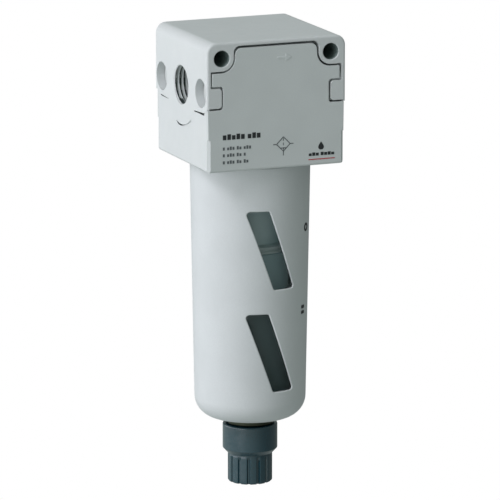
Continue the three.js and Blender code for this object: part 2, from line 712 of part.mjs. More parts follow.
/** Skirt below the baffle: a sleeve hung on the hub's wings, which calms the air over the water. */
function baffleSkirt() {
  const top = BAFFLE_EDGE - GAP;
  const flangeBottom = top - SKIRT_WALL;
  const inner = SKIRT_R - SKIRT_WALL;
  const flangeInner = BAFFLE_WING_R + GAP;
  return turned([
    [flangeInner, flangeBottom], [inner, flangeBottom], [inner, SKIRT_BOTTOM], [SKIRT_R, SKIRT_BOTTOM],
    [SKIRT_R, top], [flangeInner, top], [flangeInner, flangeBottom],
  ], SMALL_ROUND);
}

// ---------------------------------------------------------------- drain

/** Flanged, threaded tube that clamps the bowl and its guard, and carries the drain. */
function drainBody() {
  return turned([
    [SHANK_BORE_R, SHANK_BOTTOM], [SHANK_R, SHANK_BOTTOM],
    [SHANK_R, DRAIN_FLANGE_BOTTOM], [DRAIN_FLANGE_R, DRAIN_FLANGE_BOTTOM],
    [DRAIN_FLANGE_R, DRAIN_FLANGE_TOP], [SHANK_BORE_R, DRAIN_FLANGE_TOP],
    [SHANK_BORE_R, SHANK_BOTTOM],
  ], SMALL_ROUND);
}

function drainBodySeal() {
  const floor = BOWL_FOOT_Z - BOWL_INNER_FOOT_R;
  return ring(SHANK_R + GAP, DRAIN_FLANGE_R, floor + GAP, DRAIN_FLANGE_BOTTOM - GAP, SMALL_ROUND);
}

/** Round brass nut with two spanner slots. */
function brassNut() {
  const slotW = 2;
  const slotDepth = 1.4;
  const nut = ring(SHANK_HOLE_R, NUT_R, NUT_BOTTOM, NUT_TOP, SMALL_ROUND);
  const slots = [-1, 1].map((side) => {
    const span = [side * (NUT_R - slotDepth), side * (NUT_R + PAST)].sort((a, b) => a - b);
    return block(...span, AXIS_Y - slotW / 2, AXIS_Y + slotW / 2, NUT_BOTTOM - 1, NUT_TOP + 1);
  });
  return without(nut, slots);
}

function drainCollar() {
  const plateBottom = COLLAR_TOP - COLLAR_PLATE_T;
  const edge = 0.4;
  const lip = COLLAR_BORE_R + FIT / 2;
  return turned([
    [SHANK_HOLE_R, plateBottom], [COLLAR_BORE_R, plateBottom], [COLLAR_BORE_R, COLLAR_BOTTOM],
    [lip, COLLAR_BOTTOM], [COLLAR_R, COLLAR_STRAIGHT_BOTTOM],
    [COLLAR_R, COLLAR_TOP - edge], [COLLAR_R - edge, COLLAR_TOP],
    [SHANK_HOLE_R, COLLAR_TOP], [SHANK_HOLE_R, plateBottom],
  ]);
}

/** Valve stem: a head that seals on the drain body, a drilled rod and a hose nozzle. */
function drainStem() {
  const headBottom = VALVE_HEAD_TOP - VALVE_HEAD_T;
  const rootR = NOZZLE_R - BARB_DEPTH;
  const collarBottom = NOZZLE_TOP - NOZZLE_COLLAR_T;
  const boreTop = CROSS_HOLE_Z + 0.5;
  const grooveTop = CLIP_TOP + FIT;
  const grooveBottom = CLIP_TOP - CLIP_T - FIT;
  const stem = turned([
    [VALVE_BORE_R, NOZZLE_BOTTOM], [rootR, NOZZLE_BOTTOM], [NOZZLE_R, NOZZLE_BOTTOM + BARB_PITCH],
    [rootR, NOZZLE_BOTTOM + BARB_PITCH], [NOZZLE_R, NOZZLE_BOTTOM + 2 * BARB_PITCH],
    [rootR, NOZZLE_BOTTOM + 2 * BARB_PITCH], [rootR, collarBottom],
    [NOZZLE_R, collarBottom], [NOZZLE_R, NOZZLE_TOP], [VALVE_R, NOZZLE_TOP],
    [VALVE_R, grooveBottom], [CLIP_GROOVE_R, grooveBottom],
    [CLIP_GROOVE_R, grooveTop], [VALVE_R, grooveTop],
    [VALVE_R, headBottom], [VALVE_HEAD_R, headBottom], [VALVE_HEAD_R, VALVE_HEAD_TOP],
    [0, VALVE_HEAD_TOP], [0, boreTop], [VALVE_BORE_R, boreTop], [VALVE_BORE_R, NOZZLE_BOTTOM],
  ], SMALL_ROUND);
  const crossHole = rodX(VALVE_BORE_R * 0.7, -VALVE_R - 1, VALVE_R + 1, AXIS_Y, CROSS_HOLE_Z, 8);
  return stem.subtract(crossHole);
}

function stemSeal() {
  const headBottom = VALVE_HEAD_TOP - VALVE_HEAD_T;
  const clear = 0.25;
  const height = headBottom - DRAIN_FLANGE_TOP - 2 * clear;
  const middle = (headBottom + DRAIN_FLANGE_TOP) / 2;
  return turned(roundSection(VALVE_R + FIT, VALVE_HEAD_R - FIT, middle, height), SMALL_ROUND);
}

/** Open retaining ring in the stem's groove, above the knob's floor. */
function stemClip() {
  const clip = ring(CLIP_GROOVE_R + FIT, CLIP_R, CLIP_TOP - CLIP_T, CLIP_TOP, SMALL_ROUND);
  const mouthW = 1.6 * CLIP_GROOVE_R;
  const mouth = block(0, CLIP_R + 1, AXIS_Y - mouthW / 2, AXIS_Y + mouthW / 2,
    CLIP_TOP - CLIP_T - 1, CLIP_TOP + 1);
  return clip.subtract(mouth);
}

class Helix extends THREE.Curve {
  constructor(radius, low, high, turns) {
    super();
    Object.assign(this, { radius, low, high, turns });
  }

  getPoint(t, target = new THREE.Vector3()) {
    const angle = 2 * Math.PI * this.turns * t;
    const z = this.low + (this.high - this.low) * t;
    return target.set(this.radius * Math.cos(angle), AXIS_Y + this.radius * Math.sin(angle), z);
  }
}

function drainSpring() {
  const wire = new THREE.Shape();
  wire.absarc(0, 0, SPRING_WIRE_R, 0, 2 * Math.PI, false);
  const path = new Helix(SPRING_R, SPRING_BOTTOM + SPRING_WIRE_R, SPRING_TOP - SPRING_WIRE_R, SPRING_TURNS);
  const coil = new THREE.ExtrudeGeometry(wire, {
    steps: SPRING_TURNS * 12, extrudePath: path, bevelEnabled: false, curveSegments: 3,
  });
  return solid(coil);
}

/** Fluted knob: slides up into the collar, and turns on the stem. */
function drainKnob() {
  const floorBottom = KNOB_FLOOR_TOP - KNOB_FLOOR_T;
  const foot = 0.5;
  const plainR = COLLAR_BORE_R - 0.2;
  const shoulder = 0.2;
  const stemHoleR = VALVE_R + FIT;
  const barrel = turned([
    [stemHoleR, floorBottom], [KNOB_OUTLET_R, floorBottom], [KNOB_OUTLET_R, KNOB_BOTTOM],
    [KNOB_R - foot, KNOB_BOTTOM], [KNOB_R, KNOB_BOTTOM + foot], [KNOB_R, FLUTE_TOP],
    [plainR, FLUTE_TOP + shoulder], [plainR, KNOB_TOP], [KNOB_BORE_R, KNOB_TOP],
    [KNOB_BORE_R, KNOB_FLOOR_TOP], [stemHoleR, KNOB_FLOOR_TOP], [stemHoleR, floorBottom],
  ]);
  const flutes = [];
  for (let i = 0; i < FLUTE_COUNT; i++) {
    const cutter = block(KNOB_R - FLUTE_DEPTH, KNOB_R + PAST, AXIS_Y - FLUTE_W / 2, AXIS_Y + FLUTE_W / 2,
      KNOB_BOTTOM - 1, FLUTE_TOP);
    flutes.push(turnAboutAxis(cutter, 360 * (i + 0.5) / FLUTE_COUNT));
  }
  return without(barrel, flutes);
}

// ---------------------------------------------------------------- assembly

const filter = new THREE.Group();

function place(name, material, body) {
  const mesh = new THREE.Mesh(geometryOf(body), material);
  mesh.name = name;
  filter.add(mesh);
}

place('head_body', PAINTED_ALLOY, headBody());
place('front_cover', GREY_PLASTIC, frontCover());
place('rear_cover', GREY_PLASTIC, toRear(frontCover()));
for (const [sideName, side] of [['left', -1], ['right', 1]]) {
  for (const [endName, end] of [['front', -1], ['rear', 1]]) {
    place(`tie_hole_plug_${sideName}_${endName}`, PLUG_PLASTIC, tiePlug(side, end));
  }
}

place('centre_stem', WHITE_ACETAL, centreStem());
place('swirl_deflector', BLACK_PLASTIC, swirlDeflector());
place('element_top_gasket', RUBBER, elementGasket(ELEMENT_TOP + GASKET_T + GAP));
place('filter_element', SINTERED, filterElement());
place('element_bottom_gasket', RUBBER, elementGasket(ELEMENT_BOTTOM - GAP));
place('baffle', WHITE_ACETAL, baffle());
place('baffle_skirt', BLACK_PLASTIC, baffleSkirt());

place('bowl_guard', GREY_PLASTIC, bowlGuard());
place('bowl', CLEAR_PLASTIC, bowl());
place('bowl_o_ring', RUBBER, bowlORing());

place('drain_body', BLACK_PLASTIC, drainBody());
place('drain_body_seal', RUBBER, drainBodySeal());
place('brass_nut', BRASS, brassNut());
place('drain_collar', BLACK_PLASTIC, drainCollar());
place('drain_stem', WHITE_ACETAL, drainStem());
place('stem_seal', RUBBER, stemSeal());
place('stem_clip', SPRING_STEEL, stemClip());
place('drain_spring', SPRING_STEEL, drainSpring());
place('drain_knob', BLACK_PLASTIC, drainKnob());

export default filter;
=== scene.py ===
import json
import math

import bmesh
import bpy
from mathutils import Matrix, Vector


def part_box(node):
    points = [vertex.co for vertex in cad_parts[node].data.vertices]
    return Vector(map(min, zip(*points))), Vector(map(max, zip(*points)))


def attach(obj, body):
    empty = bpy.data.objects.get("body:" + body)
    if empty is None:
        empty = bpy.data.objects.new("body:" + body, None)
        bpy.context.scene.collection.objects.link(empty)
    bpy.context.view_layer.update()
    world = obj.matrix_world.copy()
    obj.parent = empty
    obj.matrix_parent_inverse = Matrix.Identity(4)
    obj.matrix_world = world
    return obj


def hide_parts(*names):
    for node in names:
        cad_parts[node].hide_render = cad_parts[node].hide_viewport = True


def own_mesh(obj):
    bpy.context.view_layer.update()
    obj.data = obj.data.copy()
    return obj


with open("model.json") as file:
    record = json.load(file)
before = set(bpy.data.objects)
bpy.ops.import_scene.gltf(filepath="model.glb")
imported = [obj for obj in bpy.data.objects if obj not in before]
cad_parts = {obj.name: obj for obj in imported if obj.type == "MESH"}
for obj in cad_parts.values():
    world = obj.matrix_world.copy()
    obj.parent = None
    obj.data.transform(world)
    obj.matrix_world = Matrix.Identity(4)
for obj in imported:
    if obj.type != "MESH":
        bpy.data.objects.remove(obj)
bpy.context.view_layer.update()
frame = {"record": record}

# Looks of a compressed air filter.  Lengths below are millimetres in the CAD frame
# (+Z up, ports on X, front cover towards -Y) and become metres in to_object().

MM = 0.001


def box_mm(node):
    """Lowest and highest corner of a CAD node, in millimetres."""
    low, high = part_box(node)
    return Vector(low) / MM, Vector(high) / MM


def span_mm(node):
    """Bottom, top and outer radius of a CAD node that is round about an upright axis."""
    low, high = box_mm(node)
    return low.z, high.z, (high.x - low.x) / 2


# ---------------------------------------------------------------- sizes

HEAD_LOW, HEAD_HIGH = box_mm("head_body")

AXIS_Y = (HEAD_LOW.y + HEAD_HIGH.y) / 2
FRONT_Y = HEAD_LOW.y
HALF_W = HEAD_HIGH.x
SIDE_STEP_Z = -4.6
SIDE_STEP = 0.42
HALF_LOW_W = HALF_W - SIDE_STEP
TOP_SIDE_R = 3.2
TOP_FRONT_R = 0.8
SCREW_X = 17.63
SCREW_Z = 10.93
SCREW_R = 2.5
PORT_LAND_R = 12.1
BAR_LAND_Y = 19.3
BAR_LAND_Z = 6
BAR_LAND_R = 1.2
BAR_FLAT_Y = 10.6
BAR_TAPER = 0.055
TIE_OFFSET = 15.9
TIE_POCKET_R = 4.35
TIE_POCKET_DEPTH = 4.45
TIE_SCREW_R = 2.7
THREAD_MINOR_R = 5.72
THREAD_MAJOR_R = 6.58
THREAD_PITCH = 1.337
PORT_DEPTH = 12
PORT_MOUTH_R = 6.05

COVER_T = 1.2
COVER_SHOULDER_X = 13.25
COVER_TOP = 13.85
COVER_EAR_X = 20.63
COVER_STEP_Z = -13.5
COVER_CHAMFER = 0.85
COVER_SHIFT = -0.12          # the front cover sits a little to the left in its recess
KEY_X = 17.12
KEY_TOP = 2.58
BOSS_CLEAR_R = SCREW_X - COVER_SHOULDER_X
SEAM = 0.55

SOCKET_TOP = -8.5
SEAL_BORE_R = 16.2
SEAL_BORE_BOTTOM = -15.5
NECK_BORE_R = 17.3
BOSS_R = 7.5
BOSS_BOTTOM = -11.6
LUG_COUNT = 4
LUG_SPAN = 25
LUG_TURN = 45

GUARD_TOP = -24
GUARD_BOTTOM = span_mm("bowl_guard")[0]
GUARD_TOP_R = 18.38
GUARD_LOW_R = 17.08
GUARD_FOOT_R = 6.6
GUARD_WALL = 1.6
WINDOW_TOP = -37.4
WINDOW_H = 24.5
WINDOW_W = 6.8
WINDOW_SLANT = 8.7
WINDOW_PITCH = 31.95
DRAIN_HOLE_R = 4.3

SPIGOT_BORE_R = 3.75
GROOVE_R = 18.7
ELEMENT_BORE_R = 5.6
SHANK_BORE_R = 4.15          # bore of the nut and the collar, round the drain's shank
KNOB_GRIP_TOP = -116.7
SMOOTH_ANGLE = math.radians(32)
PRINT_THICKNESS = 0.05


# ---------------------------------------------------------------- mesh helpers

def to_object(name, points, faces):
    """Closed mesh from points in millimetres, with its faces turned outwards."""
    mesh = bpy.data.meshes.new(name)
    mesh.from_pydata([Vector(p) * MM for p in points], [], faces)
    work = bmesh.new()
    work.from_mesh(mesh)
    bmesh.ops.recalc_face_normals(work, faces=work.faces)
    work.to_mesh(mesh)
    work.free()
    return link(name, mesh)


def link(name, mesh):
    """Puts a mesh in the scene."""
    piece = bpy.data.objects.new(name, mesh)
    bpy.context.scene.collection.objects.link(piece)
    shade(piece)
    return piece


def shade(piece):
    """Smooth shading up to SMOOTH_ANGLE, with large flat faces kept flat."""
    piece.data.polygons.foreach_set("use_smooth", [True] * len(piece.data.polygons))
    piece.data.set_sharp_from_angle(angle=SMOOTH_ANGLE)
    piece.modifiers.clear()
    piece.modifiers.new("flat_faces", "WEIGHTED_NORMAL").keep_sharp = True


def fillet(corners, steps=6):
    """Closed outline of (u, v) or (u, v, radius) corners as points, with arcs at the radii."""
    points = []
    for i, corner in enumerate(corners):
        here = Vector(corner[:2])
        radius = corner[2] if len(corner) > 2 else 0
        if not radius:
            points.append(here)
            continue
        back = (Vector(corners[i - 1][:2]) - here).normalized()
        ahead = (Vector(corners[(i + 1) % len(corners)][:2]) - here).normalized()
        half = back.angle(ahead) / 2
        centre = here + (back + ahead).normalized() * radius / math.sin(half)
        reach = radius / math.tan(half)
        start = here + back * reach - centre
        end = here + ahead * reach - centre
        sweep = start.angle(end)
        for k in range(steps + 1):
            t = k / steps
            mix = start * math.sin((1 - t) * sweep) + end * math.sin(t * sweep)
            points.append(centre + mix / math.sin(sweep))
    return points


def offset(points, distances):
    """Closed outline moved to its left by a distance, or by one distance for each point."""
    if not hasattr(distances, "__len__"):
        distances = [distances] * len(points)
    moved = []
    for i, here in enumerate(points):
        before = (here - points[i - 1]).normalized()
        after = (points[(i + 1) % len(points)] - here).normalized()
        side = Vector((-before.y - after.y, before.x + after.x))
        share = max(1 + before.dot(after), 0.2)
        moved.append(here + side * distances[i] / share)
    return moved


def subdivide(points, longest):
    """Closed outline with its long straight stretches split."""
    fine = []
    for i, here in enumerate(points):
        ahead = points[(i + 1) % len(points)]
        parts = max(1, math.ceil((ahead - here).length / longest))
        fine += [here.lerp(ahead, k / parts) for k in range(parts)]
    return fine


def wall_faces(count, loops, closed=False):
    """Faces between neighbouring loops of count points, and back to the first loop if closed."""
    faces = []
    for k in range(loops if closed else loops - 1):
        here, after = k * count, (k + 1) % loops * count
        for i in range(count):
            j = (i + 1) % count
            faces.append([here + i, here + j, after + j, after + i])
    return faces


def end_faces(count, loops):
    """Faces that close the first and the last loop."""
    return [list(range(count)), list(range(count * (loops - 1), count * loops))]


def loft(name, loops):
    """Closed mesh through loops of equal length, capped at both ends."""
    size = len(loops[0]), len(loops)
    return to_object(name, [p for loop in loops for p in loop], end_faces(*size) + wall_faces(*size))


def rounded_prism(name, outline, low, high, low_radius, high_radius, place, steps=4):
    """Anticlockwise outline from low to high, with rounded rims; a radius may be one per point."""
    def levels(end, radius, inward):
        radii = radius if hasattr(radius, "__len__") else [radius] * len(outline)
        for k in range(steps + 1):
            angle = math.pi / 2 * k / steps
            insets = [r * (1 - math.cos(angle)) for r in radii]
            depths = [end + inward * r * (1 - math.sin(angle)) for r in radii]
            loop = offset(outline, insets)
            yield [place(p.x, p.y, w) for p, w in zip(loop, depths)]
    bottom = list(levels(low, low_radius, 1))[::-1]
    top = list(levels(high, high_radius, -1))
    return loft(name, bottom + top)


def plain_prism(name, corners, low, high, place):
    """Outline from low to high, with sharp rims."""
    return rounded_prism(name, [Vector(p) for p in corners], low, high, 0, 0, place, 1)


def top_plane(u, v, w):
    """Outline in x and y, depth along z."""
    return Vector((u, v, w))


def front_plane(u, v, w):
    """Outline in x and z, depth along y."""
    return Vector((u, w, v))


def side_plane(u, v, w):
    """Outline in y and z, depth along x."""
    return Vector((w, u, v))


def bowl_axis(radius, along, angle):
    return Vector((radius * math.cos(angle), AXIS_Y + radius * math.sin(angle), along))


def x_axis(y, z):
    return lambda radius, along, angle: Vector(
        (along, y + radius * math.cos(angle), z + radius * math.sin(angle)))


def y_axis(x, z):
    return lambda radius, along, angle: Vector(
        (x + radius * math.cos(angle), along, z + radius * math.sin(angle)))


def lathe(name, corners, axis=bowl_axis, facets=128, steps=5, relief=None):
    """Turned piece: closed profile of (radius, along, fillet) corners round an axis.

    relief(radius, along, angle) gives the radius at an angle, for flutes and threads."""
    profile = fillet(corners, steps)
    points, rings, faces = [], [], []
    for radius, along in profile:
        start = len(points)
        if radius < 1e-6:
            points.append(axis(0, along, 0))
            rings.append([start] * facets)
            continue
        for i in range(facets):
            angle = 2 * math.pi * i / facets
            shaped = relief(radius, along, angle) if relief else radius
            points.append(axis(shaped, along, angle))
        rings.append(list(range(start, start + facets)))
    for k, ring in enumerate(rings):
        following = rings[(k + 1) % len(rings)]
        for i in range(facets):
            j = (i + 1) % facets
            face = list(dict.fromkeys([ring[i], ring[j], following[j], following[i]]))
            if len(face) > 2:
                faces.append(face)
    return to_object(name, points, faces)


def combine(target, others, operation="DIFFERENCE"):
    """Cuts or joins closed pieces and takes the other pieces away."""
    target.modifiers.clear()
    for other in others:
        other.modifiers.clear()
        modifier = target.modifiers.new("combine", "BOOLEAN")
        modifier.operation = operation
        modifier.solver = "MANIFOLD"
        modifier.object = other
    result = target.evaluated_get(bpy.context.evaluated_depsgraph_get())
    target.data = bpy.data.meshes.new_from_object(result)
    for other in others:
        bpy.data.objects.remove(other)
    merge_flat(target.data)
    shade(target)
    return target


def merge_flat(mesh):
    """Joins the triangles that a boolean leaves in a flat face, so that it shades flat."""
    work = bmesh.new()
    work.from_mesh(mesh)
    bmesh.ops.dissolve_limit(work, angle_limit=math.radians(0.05), verts=work.verts, edges=work.edges)
    work.to_mesh(mesh)
    work.free()


def block(low, high):
    """Box between two corners."""
    corners = ((low[0], low[1]), (high[0], low[1]), (high[0], high[1]), (low[0], high[1]))
    return plain_prism("block", corners, low[2], high[2], top_plane)


def ring_profile(inner, outer, low, high, outer_edge=0, inner_edge=0):
    """Profile of a plain ring, or of a plug if inner is 0, with the fillets of its edges."""
    return [(inner, low, inner_edge), (outer, low, outer_edge),
            (outer, high, outer_edge), (inner, high, inner_edge)]


def on_side(side, near, far):
    """Two distances from the middle as the lower and the higher x on one side."""
    return sorted((side * near, side * far))


def turn(piece, degrees):
    """Turns a piece's mesh about the bowl axis."""
    centre = Matrix.Translation((0, AXIS_Y * MM, 0))
    piece.data.transform(centre @ Matrix.Rotation(math.radians(degrees), 4, "Z") @ centre.inverted())
    return piece


def copy(piece, name):
    return link(name, piece.data.copy())


def sector(inner, outer, low, high, centre, span, rim=0):
    """Sector of a ring about the bowl axis; centre and span in degrees."""
    steps = 14
    angles = [math.radians(centre - span / 2 + span * k / steps) for k in range(steps + 1)]
    outline = [Vector((outer * math.cos(a), outer * math.sin(a))) for a in angles]
    outline += [Vector((inner * math.cos(a), inner * math.sin(a))) for a in reversed(angles)]
    return rounded_prism("sector", outline, low, high, rim, rim,
                         lambda u, v, w: Vector((u, AXIS_Y + v, w)), 3)


def smoothstep(low, high, x):
    t = min(max((x - low) / (high - low), 0), 1)
    return t * t * (3 - 2 * t)


# ---------------------------------------------------------------- materials


def map_range(nodes, links, value, source, target):
    node = nodes.new("ShaderNodeMapRange")
    for key, number in zip(("From Min", "From Max", "To Min", "To Max"), (*source, *target)):
        node.inputs[key].default_value = number
    links.new(value, node.inputs["Value"])
    return node.outputs["Result"]


class Surface:
    """Adds procedural detail to a Principled material, at scales given in millimetres."""

    def __init__(self, name, base, roughness, metallic=0.0):
        self.material = bpy.data.materials.new(name)
        self.material.use_nodes = True
        self.base = base
        self.roughness = roughness
        self.nodes = self.material.node_tree.nodes
        self.links = self.material.node_tree.links
        self.shader = self.nodes["Principled BSDF"]
        self.set(Base_Color=(*base, 1), Roughness=roughness, Metallic=metallic)
        self.coordinates = self.nodes.new("ShaderNodeTexCoord").outputs["Object"]
        self.height = None

    def noise(self, size_mm, detail, stretch=(1, 1, 1)):
        mapping = self.nodes.new("ShaderNodeMapping")
        mapping.inputs["Scale"].default_value = [s / (size_mm * MM) for s in stretch]
        self.links.new(self.coordinates, mapping.inputs["Vector"])
        texture = self.nodes.new("ShaderNodeTexNoise")
        texture.inputs["Scale"].default_value = 1
        texture.inputs["Detail"].default_value = detail
        self.links.new(mapping.outputs["Vector"], texture.inputs["Vector"])
        return texture.outputs["Fac"]

    def ramp(self, factor, low, high, low_value, high_value):
        """Maps a factor between two limits to a range of values."""
        return map_range(self.nodes, self.links, factor, (low, high), (low_value, high_value))

    def tint(self, noise, other, amount):
        """Mixes another colour into the base where a noise of (size, detail, stretch) is high."""
        factor = self.noise(*noise)
        node = self.nodes.new("ShaderNodeMix")
        node.data_type = "RGBA"
        colours = [socket for socket in node.inputs if socket.type == "RGBA"]
        socket = self.shader.inputs["Base Color"]
        if socket.is_linked:
            self.links.new(socket.links[0].from_socket, colours[0])
        else:
            colours[0].default_value = (*self.base, 1)
        colours[1].default_value = (*other, 1)
        self.links.new(self.ramp(factor, 0.35, 0.65, 0, amount), node.inputs["Factor"])
        result = [out for out in node.outputs if out.type == "RGBA"][0]
        self.links.new(result, socket)
        return self

    def vary_roughness(self, noise, spread):
        value = self.ramp(self.noise(*noise), 0.3, 0.7, self.roughness - spread, self.roughness + spread)
        self.links.new(value, self.shader.inputs["Roughness"])
        return self

    def bump(self, noise, depth_mm):
        """Adds relief of a depth in millimetres."""
        factor = self.noise(*noise)
        node = self.nodes.new("ShaderNodeBump")
        node.inputs["Distance"].default_value = depth_mm * MM
        self.links.new(factor, node.inputs["Height"])
        if self.height is not None:
            self.links.new(self.height, node.inputs["Normal"])
        self.height = node.outputs["Normal"]
        self.links.new(self.height, self.shader.inputs["Normal"])
        return self

    def set(self, **values):
        for key, value in values.items():
            self.shader.inputs[key.replace("_", " ")].default_value = value
        return self


def painted_alloy():
    """Satin powder coat: faint orange peel over a fine grain."""
    s = Surface("painted_alloy", (0.55, 0.575, 0.575), 0.42)
    s.tint((14, 2), (0.58, 0.60, 0.60), 0.6).tint((0.5, 2), (0.52, 0.545, 0.54), 0.3)
    s.vary_roughness((3, 3), 0.05)
    s.bump((1.6, 2), 0.012).bump((0.28, 2), 0.005)
    return s.set(Coat_Weight=0.12, Coat_Roughness=0.3).material


def bare_alloy():
    """Walls of the drilled holes: dull grey, with fine tool marks."""
    s = Surface("bare_alloy", (0.50, 0.54, 0.53), 0.4, 0.1)
    s.tint((1.5, 2), (0.40, 0.45, 0.44), 0.6)
    return s.vary_roughness((0.4, 2), 0.1).bump((0.15, 2), 0.006).material


def painted_shade():
    """Painted shade: a dark colour for the thread roots, the thread flanks that face away from the mouth and
    the gaps under the flank lands.
    """
    s = Surface("painted_shade", (0.03, 0.045, 0.045), 0.45)
    return s.tint((0.8, 2), (0.05, 0.065, 0.06), 0.6).bump((0.2, 2), 0.008).material


def screw_hole_shade():
    """Painted shade: dark walls of the wall screws' holes."""
    s = Surface("screw_hole_shade", (0.16, 0.21, 0.20), 0.6)
    return s.tint((1.2, 2), (0.20, 0.25, 0.24), 0.6).bump((0.3, 2), 0.01).material


def moulded_plastic(name, base, roughness=0.48):
    """Fine-grained moulded nylon with slow shifts of tone."""
    s = Surface(name, base, roughness)
    paler = [c * 1.07 for c in base]
    darker = [c * 0.92 for c in base]
    s.tint((11, 2), paler, 0.6).tint((0.35, 2), darker, 0.35)
    s.vary_roughness((2.2, 3), 0.06)
    s.bump((0.22, 3), 0.006).bump((2.4, 1), 0.01)
    return s.material


def black_plastic():
    """Glass-filled nylon, blue-black, with faint flow marks."""
    s = Surface("black_plastic", (0.002, 0.031, 0.044), 0.19)
    s.tint((5, 3, (1, 1, 0.3)), (0.003, 0.035, 0.050), 0.7)
    s.tint((0.25, 2), (0.006, 0.039, 0.054), 0.25)
    s.vary_roughness((1.4, 3), 0.05)
    s.bump((0.3, 3), 0.003)
    return s.set(IOR=1.75).material


def clear_plastic():
    """Smoke-green polycarbonate with a faint haze."""
    s = Surface("clear_plastic", (0.10, 0.17, 0.17), 0.08)
    s.tint((9, 2), (0.13, 0.20, 0.20), 0.6)
    s.vary_roughness((1.5, 3), 0.03)
    s.bump((4, 1), 0.01)
    return s.set(Alpha=0.17, IOR=1.6).material


def sintered():
    """Pressed beads of porous polyethylene, with a faint painted glow that stands in for the light reaching
    the element through the bowl.
    """
    s = Surface("sintered", (0.80, 0.88, 0.88), 0.9)
    s.tint((0.3, 2), (0.66, 0.74, 0.74), 0.7)
    # Painted light: a faint glow, though the element is no lamp.
    s.set(Emission_Color=(0.6, 0.95, 0.98, 1), Emission_Strength=0.035)
    return s.bump((0.3, 2), 0.06).material


def shade_darkened_brass():
    # Brass darkened far below its own colour: painted shade for the dark gap between the guard's foot and the
    # collar, where the nut sits.
    s = Surface("brass", (0.055, 0.06, 0.042), 0.34, 1)
    s.tint((3, 2), (0.03, 0.034, 0.026), 0.5)
    s.vary_roughness((0.15, 2, (0.05, 0.05, 1)), 0.08)
    return s.bump((0.12, 1, (0.03, 0.03, 1)), 0.004).material


def skirt_painted_glow():
    """Grey nylon, paler than the black of the skirt's slot and given a faint glow: painted light for the
    light round the skirt.
    """
    s = Surface("skirt_painted_glow", (0.27, 0.36, 0.38), 0.45)
    s.tint((6, 2), (0.30, 0.40, 0.42), 0.5).bump((0.25, 2), 0.005)
    return s.set(Emission_Color=(0.7, 1, 1, 1), Emission_Strength=0.03).material


def rubber():
    s = Surface("rubber", (0.018, 0.018, 0.019), 0.62)
    s.tint((0.4, 3), (0.035, 0.035, 0.036), 0.5)
    return s.vary_roughness((1, 2), 0.08).bump((0.15, 2), 0.008).material


def acetal():
    s = Surface("acetal", (0.60, 0.67, 0.66), 0.42)
    s.tint((4, 2), (0.53, 0.60, 0.59), 0.5)
    return s.vary_roughness((1, 2), 0.06).bump((0.25, 2), 0.006).material


def spring_steel():
    s = Surface("spring_steel", (0.56, 0.57, 0.59), 0.3, 1)
    s.tint((1, 2), (0.44, 0.45, 0.47), 0.4)
    return s.vary_roughness((0.2, 2, (1, 1, 0.2)), 0.1).bump((0.1, 1), 0.003).material


def ink(name, colour):
    """Pad-printed ink, a little uneven."""
    s = Surface(name, colour, 0.5)
    paler = [c * 1.25 + 0.01 for c in colour]
    return s.tint((0.25, 3), paler, 0.5).bump((0.1, 2), 0.002).material


MATERIALS = {
    "painted_alloy": painted_alloy(),
    "cover_plastic": moulded_plastic("cover_plastic", (0.53, 0.56, 0.555)),
    "guard_plastic": moulded_plastic("guard_plastic", (0.55, 0.575, 0.58)),
    "plug_plastic": moulded_plastic("plug_plastic", (0.54, 0.565, 0.56), 0.5),
    "clear_plastic": clear_plastic(),
    "black_plastic": black_plastic(),
    "acetal": acetal(),
    "sintered": sintered(),
    "rubber": rubber(),
    "brass": shade_darkened_brass(),
    "spring_steel": spring_steel(),
}
SKIRT_PAINTED_GLOW = skirt_painted_glow()
BARE_ALLOY = bare_alloy()
PAINTED_SHADE = painted_shade()
SCREW_HOLE_SHADE = screw_hole_shade()
INK_DARK = ink("ink_dark", (0.012, 0.014, 0.016))
INK_GREY = ink("ink_grey", (0.09, 0.10, 0.105))
INK_RED = ink("ink_red", (0.42, 0.05, 0.06))

NODE_BODY = {node: body for body, nodes in frame["record"]["behaviour"]["bodies"].items() for node in nodes}
NODE_SLOT = {part["node"]: part["material_slot"] for part in frame["record"]["subparts"]}


def stands_for(piece, node):
    """The piece takes a CAD node's place, body, material slot and finish."""
    piece.data.materials.clear()
    piece.data.materials.append(MATERIALS[NODE_SLOT[node]])
    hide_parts(node)
    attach(piece, NODE_BODY[node])
    return piece


def refinish(piece, material, inside):
    """Gives another material to the faces whose centre, in millimetres, and normal pass a test."""
    piece.data.materials.append(material)
    for face in piece.data.polygons:
        if inside(face.center / MM, face.normal):
            face.material_index = len(piece.data.materials) - 1


def added(piece, material, body):
    """A piece with no CAD node of its own."""
    piece.data.materials.clear()
    piece.data.materials.append(material)
    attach(piece, body)
    return piece


# ---------------------------------------------------------------- head

def head_block():
    rear_r = 0.4
    corners = [
        (-HALF_LOW_W, HEAD_LOW.z, 0.8), (HALF_LOW_W, HEAD_LOW.z, 0.8),
        (HALF_LOW_W, SIDE_STEP_Z), (HALF_W, SIDE_STEP_Z),
        (HALF_W, HEAD_HIGH.z, TOP_SIDE_R), (-HALF_W, HEAD_HIGH.z, TOP_SIDE_R),
        (-HALF_W, SIDE_STEP_Z), (-HALF_LOW_W, SIDE_STEP_Z),
    ]
    return rounded_prism("head", fillet(corners, 14), FRONT_Y, 0, TOP_FRONT_R, rear_r, front_plane, 7)


def flank_land(side, outline):
    """Land that keeps the upper flank's level below the step: crisp below, sloping at its sides."""
    spread = []
    for i in range(len(outline)):
        along = (outline[(i + 1) % len(outline)] - outline[i - 1]).normalized()
        spread.append(0.05 + 0.9 * smoothstep(0.3, 0.9, abs(along.y)))
    foot = offset(outline, [-s for s in spread])
    loops = []
    for loop, x in ((foot, HALF_LOW_W - 2), (foot, HALF_LOW_W - 0.01), (outline, HALF_W - 0.01)):
        loops.append([side_plane(p.x, p.y, side * x) for p in loop])
    return loft("land", loops)


